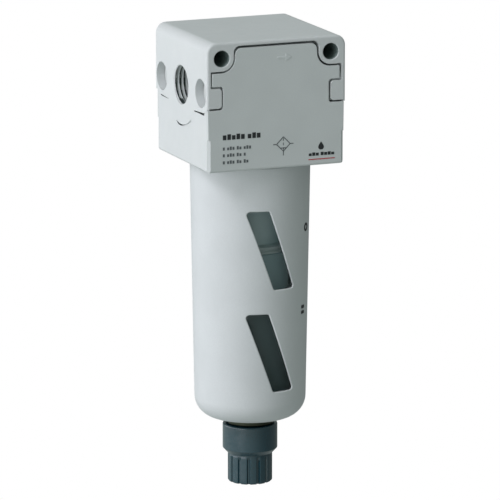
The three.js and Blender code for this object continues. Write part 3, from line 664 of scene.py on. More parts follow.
def flank_lands():
    """Port disc and joining-screw bar, on both flanks."""
    disc = [Vector((AXIS_Y + PORT_LAND_R * math.cos(a), PORT_LAND_R * math.sin(a)))
            for a in (2 * math.pi * i / 96 for i in range(96))]
    y, z, r = BAR_LAND_Y, BAR_LAND_Z, BAR_LAND_R
    bar_corners = [
        (AXIS_Y - y, -bar_half(y), r), (AXIS_Y - BAR_FLAT_Y, -z), (AXIS_Y + BAR_FLAT_Y, -z),
        (AXIS_Y + y, -bar_half(y), r), (AXIS_Y + y, z, r), (AXIS_Y - y, z, r)]
    return [flank_land(side, outline) for side in (-1, 1) for outline in (disc, fillet(bar_corners))]


def bar_half(y):
    """Half height of the bar's lower side, which tapers a little towards the ends."""
    return BAR_LAND_Z - BAR_TAPER * max(y - BAR_FLAT_Y, 0)


def land_shadow_gaps():
    """Cutters of the thin gaps under the port disc and under the bar, on both flanks."""
    gap_depth, steps = 1.3, 24
    upper, lower = [], []
    first, span, shift, drop = -15, 46, 1.0, 0.72
    for k in range(steps + 1):
        a = math.radians(first + span * k / steps)
        edge = Vector((AXIS_Y + PORT_LAND_R * math.sin(a), -PORT_LAND_R * math.cos(a)))
        share = math.sin(math.pi * k / steps)
        upper.append(edge)
        lower.append(edge + Vector((shift * share, -drop * share)))
    outlines = [lower + upper[-2:0:-1]]
    for end, near, far, thin, thick in ((-1, 10.6, 17.8, 0.4, 0.88), (1, 11, 17.6, 0.35, 0.6)):
        upper = [Vector((AXIS_Y + end * y, -bar_half(y) - 0.01)) for y in (near, far)]
        lower = [p - Vector((0, thickness)) for p, thickness in zip(upper, (thin, thick))]
        outlines.append((lower + upper[::-1]) if end > 0 else (upper + lower[::-1]))
    gaps = []
    for side in (-1, 1):
        low, high = on_side(side, HALF_LOW_W - gap_depth, HALF_W + 1)
        gaps += [plain_prism("gap", outline, low, high, side_plane) for outline in outlines]
    return gaps


def cover_outline(half, low, key_gap=0.0):
    """Right and left outline of a cover; key_gap widens it for the recess."""
    g = key_gap
    right = [
        (half, low, 0.9), (half, SIDE_STEP_Z + g), (KEY_X + g, SIDE_STEP_Z + g, 1),
        (KEY_X + g, KEY_TOP - g, 1), (COVER_EAR_X + g, KEY_TOP - g, 0.25),
        (COVER_EAR_X + g, SCREW_Z - BOSS_CLEAR_R + g, 0.25),
    ]
    arc_steps = 8
    for k in range(arc_steps + 1):
        angle = -math.pi / 2 - math.pi / 2 * k / arc_steps
        r = BOSS_CLEAR_R - g
        right.append((SCREW_X + r * math.cos(angle), SCREW_Z + r * math.sin(angle)))
    right.append((COVER_SHOULDER_X + g, COVER_TOP + g * 1.3, 2))
    left = [(-c[0], *c[1:]) for c in reversed(right)]
    return fillet(right + left, 6)


def cover_recess():
    """Cutter for the front recess, with a rounded rim at the seam."""
    past = 4
    depth = FRONT_Y + COVER_T + 0.01
    rim = 0.1
    outline = cover_outline(HALF_LOW_W + past, HEAD_LOW.z - past, SEAM)
    loops = []
    for grow, y in ((rim, FRONT_Y - past), (rim, FRONT_Y - 0.02), (rim * 0.5, FRONT_Y + rim * 0.13),
                    (rim * 0.13, FRONT_Y + rim * 0.5), (0, FRONT_Y + rim), (0, depth)):
        loops.append([front_plane(p.x, p.y, y) for p in offset(outline, -grow)])
    ends = []
    for side in (-1, 1):
        near, far = on_side(side, HALF_LOW_W - 0.4, HALF_W + past + 2)
        ends.append(block((near, FRONT_Y - past - 1, SIDE_STEP_Z + 0.02),
                          (far, depth + 1, SIDE_STEP_Z + SEAM + 0.5)))
    return combine(loft("recess", loops), ends)


def seam_trench():
    """Cutter that deepens the seam round the cover, under the cover's own edge."""
    outline = cover_outline(HALF_LOW_W + 4, HEAD_LOW.z - 4, SEAM)
    width, top, bottom = 1.1, FRONT_Y + COVER_T - 0.2, FRONT_Y + COVER_T + 3
    loops = []
    inner = offset(outline, width)
    for points, y in ((outline, top), (outline, bottom), (inner, bottom), (inner, top)):
        loops.append([front_plane(p.x, p.y, y) for p in points])
    faces = wall_faces(len(outline), len(loops), closed=True)
    trench = to_object("trench", [p for loop in loops for p in loop], faces)
    return combine(trench, [block(*corners) for side in (-1, 1) for corners in pocket_walls(side)])


def pocket_walls(side):
    """Corners of the blocks left standing between the seam and the joining-screw pockets and flank."""
    near, far = on_side(side, HALF_W - TIE_POCKET_DEPTH - 0.4, HALF_W + 5)
    shallow, deep = FRONT_Y + COVER_T, FRONT_Y + 3.4
    back = FRONT_Y + 8
    near_edge, far_edge = on_side(side, HALF_LOW_W - 0.4, HALF_W + 5)
    return [((near, shallow, -4.1), (far, back, 4.75)), ((near, deep, -6), (far, back, -4.05)),
            ((near_edge, shallow - 1, -7), (far_edge, back + 1, 0))]


def threaded_hole(side):
    """Cutter with a helical G1/4 thread, running out before the hole's floor."""
    facets = 96
    per_pitch = 10
    step = THREAD_PITCH / per_pitch
    count = int((PORT_DEPTH + 2) / step)
    run_out = PORT_DEPTH - 2.5
    points = []
    for k in range(count + 1):
        depth = PORT_DEPTH - k * step
        fade = smoothstep(0, 0.3, depth) * (1 - smoothstep(run_out, run_out + 1.2, depth))
        for i in range(facets):
            phase = (depth / THREAD_PITCH - side * i / facets + 0.25) % 1
            wave = min(max(1.35 * abs(2 * phase - 1) - 0.17, 0), 1)
            radius = THREAD_MINOR_R + (THREAD_MAJOR_R - THREAD_MINOR_R) * wave * fade
            points.append(x_axis(AXIS_Y, 0)(radius, side * (HALF_W - depth), 2 * math.pi * i / facets))
    size = facets, count + 1
    return to_object("thread", points, wall_faces(*size) + end_faces(*size))


def hole(radius, face, outward, axis, depth, rim=0.2, facets=96):
    """Turned cutter of a round hole with a softened edge."""
    past = 3
    corners = [(0, face - outward * depth), (0, face + outward * past), (radius + rim, face + outward * past)]
    steps = 4
    for k in range(steps + 1 if rim else 0):
        angle = math.pi / 2 * (1 - k / steps)
        corners.append((radius + rim * (1 - math.cos(angle)), face - outward * rim * (1 - math.sin(angle))))
    corners.append((radius, face - outward * depth))
    return lathe("hole", corners, axis, facets)


def chamfered_mouth(radius, wide, face, outward, axis, depth):
    """Turned cutter of a chamfered mouth, from the wide radius at the face down to the hole's radius."""
    past, rim = 3, 0.15
    corners = [
        (0, face - outward * depth), (0, face + outward * past), (wide + rim, face + outward * past),
        (wide + rim, face + outward * 0.01), (wide, face - outward * 0.01, rim),
        (radius, face - outward * (wide - radius), rim), (radius, face - outward * depth),
    ]
    return lathe("mouth", corners, axis, 96, 3)


def head_cutters():
    recess = cover_recess()
    rear_recess = turn(copy(recess, "rear_recess"), 180)
    trench = seam_trench()
    cutters = [recess, rear_recess, trench, turn(copy(trench, "rear_trench"), 180)]
    for side in (-1, 1):
        face = side * HALF_W
        port_axis = x_axis(AXIS_Y, 0)
        cutters.append(chamfered_mouth(THREAD_MINOR_R, PORT_MOUTH_R, face, side, port_axis, 3))
        cutters.append(threaded_hole(side))
        for end in (-1, 1):
            axis = x_axis(AXIS_Y + end * TIE_OFFSET, 0)
            cutters.append(hole(TIE_POCKET_R, face, side, axis, TIE_POCKET_DEPTH, 0.15))
            cutters.append(hole(TIE_SCREW_R, side * (HALF_W - TIE_POCKET_DEPTH - 1), side, axis, 7, 0, 48))
        screw_axis = y_axis(side * SCREW_X, SCREW_Z)
        middle = FRONT_Y / 2
        cutters.append(hole(SCREW_R, FRONT_Y, -1, screw_axis, 1 - middle, 0.3, 64))
        cutters.append(hole(SCREW_R, 0, 1, screw_axis, 1 - middle, 0.3, 64))
    return cutters + socket_cutters()


def socket_cutters():
    """Bowl socket, bayonet grooves and the air passages."""
    under = HEAD_LOW.z - 3
    cutters = [
        lathe("seal_bore", [
            (BOSS_R, BOSS_BOTTOM - 0.01), (0, BOSS_BOTTOM - 0.01), (0, SEAL_BORE_BOTTOM - 1),
            (SEAL_BORE_R, SEAL_BORE_BOTTOM - 1), (SEAL_BORE_R, SOCKET_TOP, 0.5), (BOSS_R, SOCKET_TOP, 0.5)]),
        lathe("neck_bore", ring_profile(0, NECK_BORE_R, under, SEAL_BORE_BOTTOM)),
        lathe("spigot_bore", ring_profile(0, SPIGOT_BORE_R, BOSS_BOTTOM - 1, 0.3), facets=64),
        lathe("outlet", ring_profile(0, 4, -0.3, 11.5), x_axis(AXIS_Y, 0), 64),
        block((-15.5, AXIS_Y - 4, SOCKET_TOP - 1), (-9.5, AXIS_Y + 4, 0)),
    ]
    for i in range(LUG_COUNT):
        locked = (i + 0.5) * 360 / LUG_COUNT
        middle = locked - LUG_TURN / 2
        cutters.append(sector(16, GROOVE_R, -19.1, -16.3, middle, LUG_TURN + LUG_SPAN + 3))
        cutters.append(sector(16, GROOVE_R, under, -18, locked - LUG_TURN, LUG_SPAN + 3))
    return cutters


def build_head():
    head = combine(head_block(), flank_lands(), "UNION")
    combine(head, head_cutters() + land_shadow_gaps())
    head.name = "head_casting"
    stands_for(head, "head_body")
    refinish(head, BARE_ALLOY, in_port)
    # Painted shade on the thread roots and on the thread flanks that face away from the mouth.
    refinish(head, PAINTED_SHADE, in_painted_thread_shade)
    # Painted shade on the walls of the gaps under the flank lands.
    refinish(head, PAINTED_SHADE, in_painted_gap_shade)
    # Painted shade on the walls of the wall screws' holes.
    refinish(head, SCREW_HOLE_SHADE, in_screw_hole)


def in_painted_thread_shade(centre, normal):
    """Thread roots, and the flanks that face away from the mouth, which get painted shade."""
    radial = math.hypot(centre.y - AXIS_Y, centre.z)
    in_thread = THREAD_MINOR_R + 0.03 < radial < THREAD_MAJOR_R + 0.05 and abs(centre.x) < HALF_W - 0.02
    facing_in = normal.x * centre.x < -0.3 * abs(centre.x)
    return in_thread and (facing_in or radial > THREAD_MAJOR_R - 0.1 and abs(centre.x) < HALF_W - 1)


# Faces of the gaps under the flank lands, which get painted shade.
def in_painted_gap_shade(centre, _normal):
    return HALF_LOW_W - 1.4 < abs(centre.x) < HALF_LOW_W - 0.03 and -14 < centre.z < -4.9 \
        and abs(centre.y - AXIS_Y) < BAR_LAND_Y


def in_port(centre, _normal):
    """True on the port's thread and passage, past the painted mouth."""
    return math.hypot(centre.y - AXIS_Y, centre.z) < THREAD_MAJOR_R + 0.05 and abs(centre.x) < HALF_W - 1.15


def in_screw_hole(centre, _normal):
    from_axis = math.hypot(abs(centre.x) - SCREW_X, centre.z - SCREW_Z)
    return from_axis < SCREW_R + 0.02 and FRONT_Y + 0.4 < centre.y < -0.4


def build_covers():
    outline = cover_outline(HALF_LOW_W, HEAD_LOW.z)
    edge, flank_edge = 0.12, 0.75
    radii = [flank_edge if abs(p.x) > HALF_LOW_W - 1 and p.y < SIDE_STEP_Z else edge for p in outline]
    front = rounded_prism("front_panel", outline, FRONT_Y, FRONT_Y + COVER_T, radii, 0.05, front_plane, 5)
    combine(front, [corner_chamfer(side) for side in (-1, 1)])
    front.data.transform(Matrix.Translation((COVER_SHIFT * MM, 0, 0)))
    snaps = [block((side * 9 - 2.5, FRONT_Y + 0.6, 9.2), (side * 9 + 2.5, FRONT_Y + 4.2, 10.8))
             for side in (-1, 1)]
    front = join([front, *snaps], "front_panel")
    rear = turn(copy(front, "rear_panel"), 180)
    stands_for(front, "front_cover")
    stands_for(rear, "rear_cover")


def corner_chamfer(side):
    """Cutter of the chamfer along a cover's lower upright edge."""
    c = COVER_CHAMFER + 1
    x = side * HALF_LOW_W
    corners = [(x - side * c, FRONT_Y - 1), (x + side, FRONT_Y - 1), (x + side, FRONT_Y + c)]
    return plain_prism("chamfer", corners[::side], HEAD_LOW.z - 2, COVER_STEP_Z, top_plane)


def build_plugs():
    for side_name, side in (("left", -1), ("right", 1)):
        for end_name, end in (("front", -1), ("rear", 1)):
            node = f"tie_hole_plug_{side_name}_{end_name}"
            low, high = box_mm(node)
            outer, inner = (low.x, high.x) if side < 0 else (high.x, low.x)
            radius = (high.z - low.z) / 2
            axis = x_axis(AXIS_Y + end * TIE_OFFSET, 0)
            corners = [(0, outer), (radius, outer, 0.3), (radius, inner, 0.2), (0, inner)]
            stands_for(lathe("disc_" + node[9:], corners, axis, 96), node)


# ---------------------------------------------------------------- prints and moulded marks

def decal(name, outlines):
    """Thin raised shapes on the front cover, joined in one piece."""
    parts = [plain_prism(name, outline, FRONT_Y - PRINT_THICKNESS, FRONT_Y + 0.02, front_plane)
             for outline in outlines]
    return join(parts, name)


def join(parts, name):
    """One piece from several closed ones, left as they are."""
    work = bmesh.new()
    for part in parts:
        work.from_mesh(part.data)
        bpy.data.objects.remove(part)
    mesh = bpy.data.meshes.new(name)
    work.to_mesh(mesh)
    work.free()
    return link(name, mesh)


def bar(x0, x1, z, height):
    return [(x0, z - height / 2), (x1, z - height / 2), (x1, z + height / 2), (x0, z + height / 2)]


def stroke(start, end, width):
    """Thin straight stroke as an outline."""
    a, b = Vector(start), Vector(end)
    side = (b - a).orthogonal().normalized() * width / 2
    return [a - side, b - side, b + side, a + side]


def print_row(x, z, words, width, gap, height):
    """A row of plain blocks standing in for a line of print; words gives the blocks in each word."""
    bars = []
    for count in words:
        for k in range(count):
            tall = height * (1, 0.86, 1, 0.78)[(k + count) % 4]
            low = z - height / 2
            bars.append([(x, low), (x + width, low), (x + width, low + tall), (x, low + tall)])
            x += width + gap
        x += 2.2 * gap
    return bars


def filter_symbol(cx, cz, half):
    """The standard drawing symbol of a filter with a manual drain."""
    width = 0.26
    corners = [(cx, cz + half), (cx - half, cz), (cx, cz - half), (cx + half, cz)]
    strokes = [stroke(corners[i], corners[(i + 1) % 4], width) for i in range(4)]
    strokes += [stroke((cx + s * half, cz), (cx + s * (half + 1.1), cz), width) for s in (-1, 1)]
    dash = half * 0.36
    tops = (half * 0.8, dash / 2, -half * 0.45)
    strokes += [stroke((cx, cz + top), (cx, cz + top - dash), width * 0.8) for top in tops]
    strokes.append(stroke((cx, cz - half), (cx, cz - half - 1.3), width))
    level, reach = cz - half * 0.55, half * 0.45
    strokes.append(stroke((cx - reach, level), (cx + reach, level), width))
    return strokes


def droplet(cx, cz, size):
    """Plain water-drop mark."""
    points = []
    steps = 28
    for k in range(steps):
        angle = 2 * math.pi * k / steps
        pinch = math.sin(angle / 2) ** 1.3
        points.append((cx + 0.6 * size * math.sin(angle) * pinch, cz + 0.6 * size * math.cos(angle)))
    return points[::-1]


def build_prints():
    left = -17.4
    title = decal("print_title", print_row(left, -12.85, (5, 3), 1.15, 0.32, 1.7))
    rows = []
    for z, words in ((-16.3, (1, 3, 2, 3)), (-18.35, (1, 3, 2, 1)), (-20.5, (1, 3, 2, 2))):
        rows += print_row(left, z, words, 0.62, 0.24, 1.05)
    body = decal("print_lines", rows)
    symbol = decal("print_filter_symbol", filter_symbol(2.2, -16.25, 2.2))
    mark = decal("print_drop_mark",
                 [droplet(14.5, -17.6, 2.1)] + print_row(10.5, -20.1, (3, 4), 0.95, 0.2, 1))
    rule = decal("print_rule", [bar(10.4, 19, -21.7, 0.3)])
    inks = ((title, INK_DARK), (body, INK_GREY), (symbol, INK_GREY), (mark, INK_DARK), (rule, INK_RED))
    for piece, material in inks:
        added(piece, material, "housing")


def build_flow_arrow():
    """Faint moulded arrow near the cover's top, pointing from inlet to outlet."""
    x, z = 0.3, 10.2
    outline = [Vector((x + u, z + v)) for u, v in (
        (0, -0.35), (2.6, -0.35), (2.6, -1.15), (4.6, 0), (2.6, 1.15), (2.6, 0.35), (0, 0.35))]
    arrow = rounded_prism("moulded_arrow", outline, FRONT_Y - 0.14, FRONT_Y + 0.05, 0.1, 0, front_plane, 3)
    added(arrow, MATERIALS["cover_plastic"], "housing")


# ---------------------------------------------------------------- bowl and guard

def guard_radius(z):
    taper_end = GUARD_BOTTOM + GUARD_FOOT_R
    return GUARD_TOP_R + (GUARD_LOW_R - GUARD_TOP_R) * (z - GUARD_TOP) / (taper_end - GUARD_TOP)


def window_cutter(top):
    """Slanted window with a rounded rim that follows the guard's curve, flaring behind its thin lip."""
    lean = WINDOW_SLANT / 2
    left, right = -WINDOW_W / 2 - 0.3, WINDOW_W / 2
    low = top - WINDOW_H
    corners = [(lean + left, low, 0.8), (lean + right, low, 0.8),
               (-lean + right, top, 0.8), (-lean + left, top, 1)]
    outline = subdivide(fillet(corners, 5), 1.2)
    rim = 0.42

    def on_guard(grow, sunk):
        loop = []
        for p in offset(outline, -grow):
            radius = guard_radius(p.y) - sunk
            loop.append(Vector((p.x, AXIS_Y - math.sqrt(radius ** 2 - p.x ** 2), p.y)))
        return loop

    undercut = 6
    inside = [front_plane(p.x, p.y, AXIS_Y - 9) for p in offset(outline, -undercut)]
    outside = [front_plane(p.x, p.y, AXIS_Y - 22) for p in offset(outline, -rim)]
    steps = [(0, 1), (0.08, 0.62), (0.29, 0.29), (0.62, 0.08), (0.85, 0.01), (1, -0.08)]
    loops = [on_guard(grow * rim, sunk * rim) for grow, sunk in steps]
    return loft("window", [inside, *loops, outside])


def build_guard():
    foot = GUARD_BOTTOM
    inner_foot = foot + GUARD_WALL
    neck_r, neck_inner, neck_top = 17, 15.5, -15.8
    corners = [
        (DRAIN_HOLE_R, foot, 0.2), (guard_radius(foot), foot, GUARD_FOOT_R),
        (GUARD_TOP_R, GUARD_TOP, 0.35), (neck_r, GUARD_TOP), (neck_r, neck_top, 0.3),
        (neck_inner, neck_top, 0.3), (neck_inner, GUARD_TOP - 1),
        (guard_radius(GUARD_TOP - 3) - GUARD_WALL, GUARD_TOP - 3),
        (guard_radius(inner_foot) - GUARD_WALL, inner_foot, GUARD_FOOT_R - GUARD_WALL),
        (DRAIN_HOLE_R, inner_foot),
    ]
    guard = lathe("guard", corners, facets=192, steps=10)
    lugs = [sector(16.3, 18.4, -18.8, -16.6, (i + 0.5) * 360 / LUG_COUNT, LUG_SPAN, 0.25)
            for i in range(LUG_COUNT)]
    combine(guard, lugs, "UNION")
    fronts = [window_cutter(WINDOW_TOP), window_cutter(WINDOW_TOP - WINDOW_PITCH)]
    rears = [turn(copy(cutter, "rear_window"), 180) for cutter in fronts]
    combine(guard, fronts + rears)
    guard.name = "guard_shell"
    return stands_for(guard, "bowl_guard")


def guard_patch(angle_deg, z, u, v, height):
    """Point on the guard, u along its girth and v up from a centre, raised by a height."""
    radius = guard_radius(z + v)
    angle = math.radians(angle_deg - 90) + u / radius
    return bowl_axis(radius + height, z + v, angle)


def build_guard_marks():
    """Index marks of the bayonet: a ring and a pair of short bars, both on one side."""
    ring_points, ring_faces = [], []
    around, section = 36, 8
    for i in range(around):
        a = 2 * math.pi * i / around
        for k in range(section):
            b = 2 * math.pi * k / section
            r = 1 + 0.36 * math.cos(b)
            ring_points.append(guard_patch(47.5, -44.3, r * math.cos(a), r * math.sin(a), 0.22 * math.sin(b)))
            i2, k2 = (i + 1) % around, (k + 1) % section
            ring_faces.append([i * section + k, i2 * section + k, i2 * section + k2, i * section + k2])
    ring = to_object("moulded_ring", ring_points, ring_faces)
    ticks = []
    for z in (-68.9, -70.6):
        outline = fillet([(-0.9, -0.5, 0.25), (0.9, -0.5, 0.25), (0.9, 0.5, 0.25), (-0.9, 0.5, 0.25)], 3)
        ticks.append(rounded_prism("tick", outline, -0.2, 0.2, 0, 0.12,
                                   lambda u, v, w, z=z: guard_patch(43, z, u, v, w), 3))
    for piece in (ring, join(ticks, "moulded_ticks")):
        added(piece, INK_DARK, "bowl_unit")


def build_bowl():
    """Clear shell, with a seal groove in the cuff at its top."""
    foot, floor, cuff, top = -102.5, -100.5, -15.4, -9.2
    cuff_r, mouth_r = 15.95, 13.4
    groove_r, groove_low, groove_high = 14.6, -13.45, -11.75
    corners = [
        (DRAIN_HOLE_R, foot), (14.92, foot, 4.6), (15.2, cuff, 0.3), (cuff_r, cuff, 0.2),
        (cuff_r, groove_low, 0.15), (groove_r, groove_low, 0.15), (groove_r, groove_high, 0.15),
        (cuff_r, groove_high, 0.15), (cuff_r, top, 0.3), (mouth_r, top, 0.3), (mouth_r, cuff),
        (12.9, floor, 2.6), (DRAIN_HOLE_R, floor),
    ]
    return stands_for(lathe("bowl_shell", corners, facets=160, steps=8), "bowl")


# ---------------------------------------------------------------- cartridge

def moulded_ring(name, inner, outer, z, height):
    """Ring of round section."""
    half_r, half_h = (outer - inner) / 2, height / 2
    section = []
    for k in range(16):
        a = 2 * math.pi * k / 16
        section.append((inner + half_r + half_r * math.cos(a), z + half_h * math.sin(a)))
    return lathe(name, section)


def washer(name, node, inner):
    """Plain ring as deep and as wide as its CAD node."""
    low, high, outer = span_mm(node)
    corners = ring_profile(inner, outer, low, high, 0.15, 0.15)
    return stands_for(lathe(name, corners, facets=96, steps=3), node)


def build_cartridge():
    washer("top_gasket", "element_top_gasket", ELEMENT_BORE_R)
    low, high, _ = span_mm("element_bottom_gasket")
    gasket = lathe("bottom_gasket", ring_profile(ELEMENT_BORE_R, 8.2, low, high, 0.15, 0.15))
    stands_for(gasket, "element_bottom_gasket")
    low, high, outer = span_mm("filter_element")
    lip, lip_low = 0.3, low - 1.4
    stands_for(lathe("element_tube", [
        (ELEMENT_BORE_R, low, 0.2), (outer - lip, low), (outer - lip, lip_low), (outer, lip_low),
        (outer, high, 0.4), (ELEMENT_BORE_R, high, 0.4)]), "filter_element")
    build_stem()
    build_deflector()
    build_baffle()
    stands_for(moulded_ring("bowl_seal", 14.75, 16.1, -12.6, 1.4), "bowl_o_ring")


def build_stem():
    """Hollow stem with four slots that let the filtered air in."""
    stem = lathe("stem", [
        (0, -56), (2.4, -56, 0.4), (2.4, -29), (4.6, -29, 0.3), (4.6, -13.6), (6.4, -13.6, 0.25),
        (6.4, -11.9, 0.25), (3.45, -11.9), (3.45, -5, 0.3), (2.7, -5), (2.7, -27.5, 0.3),
        (0, -27.5)], facets=64)
    slots = [block((-7, AXIS_Y - 1, -27.4), (7, AXIS_Y + 1, -23)),
             block((-1, AXIS_Y - 7, -27.4), (1, AXIS_Y + 7, -23))]
    stands_for(combine(stem, slots), "centre_stem")


def build_deflector():
    low, high, outer = span_mm("swirl_deflector")
    hub = lathe("deflector", ring_profile(4.9, 9, low, high, 0.4, 0.2), facets=96)
    band = lathe("band", ring_profile(outer - 0.9, outer, low, high, 0.2, 0.2))
    vanes = []
    count = 10
    for i in range(count):
        vane = block((8.6, -0.45, -1.7), (12.5, 0.45, 1.7))
        lean = Matrix.Rotation(math.radians(35), 4, "X")
        spin = Matrix.Rotation(2 * math.pi * i / count, 4, "Z")
        middle = Matrix.Translation((0, AXIS_Y * MM, (low + high) / 2 * MM))
        vane.data.transform(middle @ spin @ lean)
        vanes.append(vane)
    stands_for(combine(hub, [band] + vanes, "UNION"), "swirl_deflector")


def build_baffle():
    """Disc with a ribbed edge and a winged hub."""
    low, high, outer = span_mm("baffle")
    edge, groove, bore_r = -51.9, 0.4, 2.55
    rib = (high - edge) / 3
    disc = lathe("baffle_disc", [
        (bore_r, low), (5.2, low, 0.3), (5.2, high - 1.1), (outer - 1, high - 1.1), (outer - 1, edge, 0.2),
        (outer, edge, 0.2), (outer, edge + rib, 0.15), (outer - groove, edge + rib, 0.1),
        (outer - groove, edge + 2 * rib, 0.1), (outer, edge + 2 * rib, 0.15), (outer, high, 0.2),
        (bore_r, high)])
    wings = [turn(block((-9, AXIS_Y - 0.5, low + 0.02), (9, AXIS_Y + 0.5, high - 0.6)), angle)
             for angle in (0, 90)]
    bore = lathe("bore", ring_profile(0, bore_r, low - 1, high + 1), facets=64)
    combine(disc, wings, "UNION")
    stands_for(combine(disc, [bore]), "baffle")


def build_skirt():
    low, high, outer = span_mm("baffle_skirt")
    wall, hole_r = 1.2, 9.3
    sleeve = stands_for(lathe("skirt_sleeve", [
        (hole_r, high - wall, 0.2), (outer - wall, high - wall, 0.3), (outer - wall, low, 0.3),
        (outer, low, 0.4), (outer, high, 0.4), (hole_r, high, 0.2)]), "baffle_skirt")
    # The skirt's paler, faintly glowing grey is painted light, in place of its slot's black.
    sleeve.data.materials[0] = SKIRT_PAINTED_GLOW


# ---------------------------------------------------------------- drain

def build_drain_body():
    corners = [(2.35, -111.2), (3.9, -111.2, 0.3), (3.9, -98.9),
               (6.6, -98.9, 0.2), (6.6, -97.4, 0.4), (2.35, -97.4, 0.3)]
    stands_for(lathe("drain_tube", corners, facets=96), "drain_body")
    washer("tube_seal", "drain_body_seal", 4.2)


def build_nut():
    low, high, _ = span_mm("brass_nut")
    radius = 7.6
    nut = lathe("nut_ring", ring_profile(SHANK_BORE_R, radius, low, high, 0.3, 0.25))
    slots = [turn(block((radius - 1.4, AXIS_Y - 1, low - 1), (radius + 2, AXIS_Y + 1, high + 1)), angle)
             for angle in (0, 180)]
    stands_for(combine(nut, slots), "brass_nut")


def build_collar():
    low, high, _ = span_mm("drain_collar")
    outer = 8.43
    corners = [
        (SHANK_BORE_R, high - 1.5), (7, high - 1.5), (7, low), (7.1, low, 0.04),
        (outer, -114.7, 0.35), (outer, high, 0.5), (SHANK_BORE_R, high, 0.2)]
    stands_for(lathe("collar_sleeve", corners, facets=160, steps=6), "drain_collar")


def knob_relief(radius, along, angle):
    """Flutes round the knob's grip, running out just under its shoulder."""
    count, depth = 14, 0.55
    if radius < 6 or along > KNOB_GRIP_TOP:
        return radius
    turn_share = (angle / (2 * math.pi) * count) % 1
    groove = 1 - smoothstep(0.09, 0.19, abs(turn_share - 0.5))
    fade = 1 - smoothstep(KNOB_GRIP_TOP - 0.9, KNOB_GRIP_TOP, along)
    return radius - fade * depth * groove


def build_knob():
    low, high, _ = span_mm("drain_knob")
    outer, rows = 6.84, 14
    grip = [(outer, low + 0.7 + (KNOB_GRIP_TOP - low - 0.7) * k / rows) for k in range(1, rows + 1)]
    corners = [
        (2.05, -118.8), (4.9, -118.8, 0.3), (4.9, low, 0.3), (outer, low, 0.55), *grip,
        (6.8, KNOB_GRIP_TOP + 0.2), (6.8, high, 0.3), (4.5, high, 0.3), (4.5, -116.8), (2.05, -116.8)]
    stands_for(lathe("knob_grip", corners, facets=336, relief=knob_relief), "drain_knob")


def build_valve():
    bore_r, stem_r, root_r, barb_r, clip_groove_r, head_r = 0.9, 1.9, 2.6, 3, 1.4, 3.6
    stem = lathe("valve_stem", [
        (bore_r, -125), (root_r, -125, 0.1), (barb_r, -123.6, 0.1), (root_r, -123.6),
        (barb_r, -122.2, 0.1), (root_r, -122.2), (root_r, -120.3), (barb_r, -120.3, 0.1),
        (barb_r, -119.1, 0.1), (stem_r, -119.1), (stem_r, -116.65), (clip_groove_r, -116.65),
        (clip_groove_r, -115.75), (stem_r, -115.75), (stem_r, -96.2), (head_r, -96.2, 0.2),
        (head_r, -94.8, 0.5), (0, -94.8), (0, -97.8), (bore_r, -97.8)], facets=64)
    cross = lathe("cross", ring_profile(0, 0.63, -3, 3), x_axis(AXIS_Y, -98.3), 32)
    stands_for(combine(stem, [cross]), "drain_stem")
    stands_for(moulded_ring("valve_seal", 2.05, 3.45, -96.8, 0.7), "stem_seal")
    clip = lathe("clip", ring_profile(1.55, 3, -116.5, -115.9, 0.08, 0.08), facets=64)
    gap = block((0, AXIS_Y - 1.2, -118), (4, AXIS_Y + 1.2, -115))
    stands_for(combine(clip, [gap]), "stem_clip")


def build_spring():
    """Coil of round wire that fills its CAD node's box, with a mesh of its own; the real spring shortens
    towards the knob's floor as the valve is pushed up.
    """
    low, high = box_mm("drain_spring")
    radius, wire, turns, sides, per_turn = 3.6, 0.28, 4, 12, 40
    count = turns * per_turn
    points = []
    for k in range(count + 1):
        t = k / count
        angle = 2 * math.pi * turns * t
        z = low.z + wire + (high.z - low.z - 2 * wire) * t
        for i in range(sides):
            b = 2 * math.pi * i / sides
            points.append(bowl_axis(radius + wire * math.cos(b), z + wire * math.sin(b), angle))
    size = sides, count + 1
    coil = to_object("valve_spring", points, wall_faces(*size) + end_faces(*size))
    spring = stands_for(coil, "drain_spring")
    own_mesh(spring)


# ---------------------------------------------------------------- stage, light and camera

def build_stage():
    """Pale floor well below the part, which hangs as if held by its pipework."""
    bpy.ops.mesh.primitive_plane_add(size=60, location=(0, 0, -0.45))
    floor = bpy.context.object
    floor.name = "floor"
    material = bpy.data.materials.new("floor_pale")
    material.use_nodes = True
    nodes, links = material.node_tree.nodes, material.node_tree.links
    nodes.remove(nodes["Principled BSDF"])
    glow = nodes.new("ShaderNodeEmission")
    links.new(glow.outputs["Emission"], nodes["Material Output"].inputs["Surface"])
    graded_glow(nodes, links, glow, "Object", "X", (-1, 1), (0.72, 0.2))
    floor.data.materials.append(material)


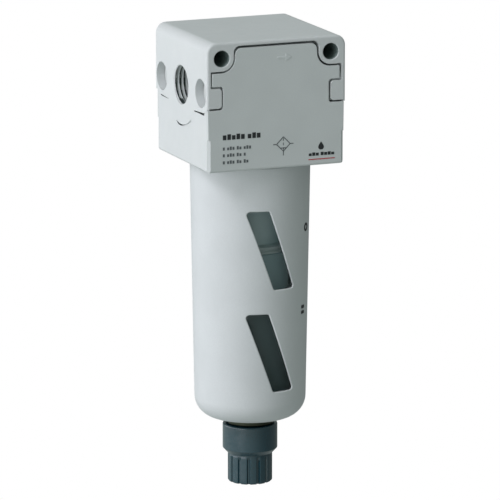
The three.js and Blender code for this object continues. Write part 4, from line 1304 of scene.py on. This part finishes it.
def graded_glow(nodes, links, glow, place, axis, source, target):
    """Grades a glow along an axis, with the room's tint, and shows plain white to the camera."""
    split = nodes.new("ShaderNodeSeparateXYZ")
    links.new(nodes.new("ShaderNodeTexCoord").outputs[place], split.inputs["Vector"])
    strength = map_range(nodes, links, split.outputs[axis], source, target)
    seen = nodes.new("ShaderNodeLightPath").outputs["Is Camera Ray"]
    level = nodes.new("ShaderNodeMix")
    links.new(seen, level.inputs["Factor"])
    links.new(strength, level.inputs["A"])
    level.inputs["B"].default_value = 1
    links.new(level.outputs["Result"], glow.inputs["Strength"])
    colour = nodes.new("ShaderNodeMix")
    colour.data_type = "RGBA"
    tints = [socket for socket in colour.inputs if socket.type == "RGBA"]
    tints[0].default_value = (0.90, 1, 0.97, 1)
    tints[1].default_value = (1, 1, 1, 1)
    links.new(seen, colour.inputs["Factor"])
    links.new([out for out in colour.outputs if out.type == "RGBA"][0], glow.inputs["Color"])


def place_facing(name, data, target, azimuth, elevation, distance):
    """Puts a light or camera round a target, facing it; azimuth 0 is in front, 90 on the inlet side."""
    a, e = math.radians(azimuth), math.radians(elevation)
    away = Vector((-math.sin(a) * math.cos(e), -math.cos(a) * math.cos(e), math.sin(e)))
    thing = bpy.data.objects.new(name, data)
    thing.location = target + away * distance
    thing.rotation_euler = (-away).to_track_quat("-Z", "Y").to_euler()
    bpy.context.scene.collection.objects.link(thing)
    return thing


def area_light(name, power, size, azimuth, elevation):
    """Soft rectangle aimed at the part."""
    data = bpy.data.lights.new(name, "AREA")
    data.shape = "RECTANGLE"
    data.energy = power
    data.size, data.size_y = size
    data.color = (1, 0.97, 1.04)
    place_facing(name, data, Vector((0, AXIS_Y * MM, -0.05)), azimuth, elevation, 1.8)


def build_world():
    """Soft light from above that fades towards the horizon."""
    world = bpy.data.worlds.new("studio")
    bpy.context.scene.world = world
    world.use_nodes = True
    nodes, links = world.node_tree.nodes, world.node_tree.links
    graded_glow(nodes, links, nodes["Background"], "Generated", "Z", (-0.3, 1), (0.06, 0.64))


def build_light():
    build_world()
    area_light("panel_left", 15.5, (1.8, 1.9), 68, -1)
    area_light("panel_behind", 17.5, (1.9, 1.9), 122, -2)
    area_light("key_left", 12.5, (0.6, 0.6), 70, 42)


def build_camera():
    data = bpy.data.cameras.new("camera")
    data.lens = 358.8
    data.sensor_width = 36
    data.clip_end = 200
    target = Vector((0, AXIS_Y * MM, -0.0529))
    bpy.context.scene.camera = place_facing("camera", data, target, 22.31, 12.33, 1.522)


build_camera()
build_light()
build_stage()
build_head()
build_covers()
build_plugs()
build_prints()
build_flow_arrow()
build_guard()
build_guard_marks()
build_bowl()
build_cartridge()
build_skirt()
build_drain_body()
build_nut()
build_collar()
build_knob()
build_valve()
build_spring()

bpy.context.scene.view_settings.view_transform = "Standard"
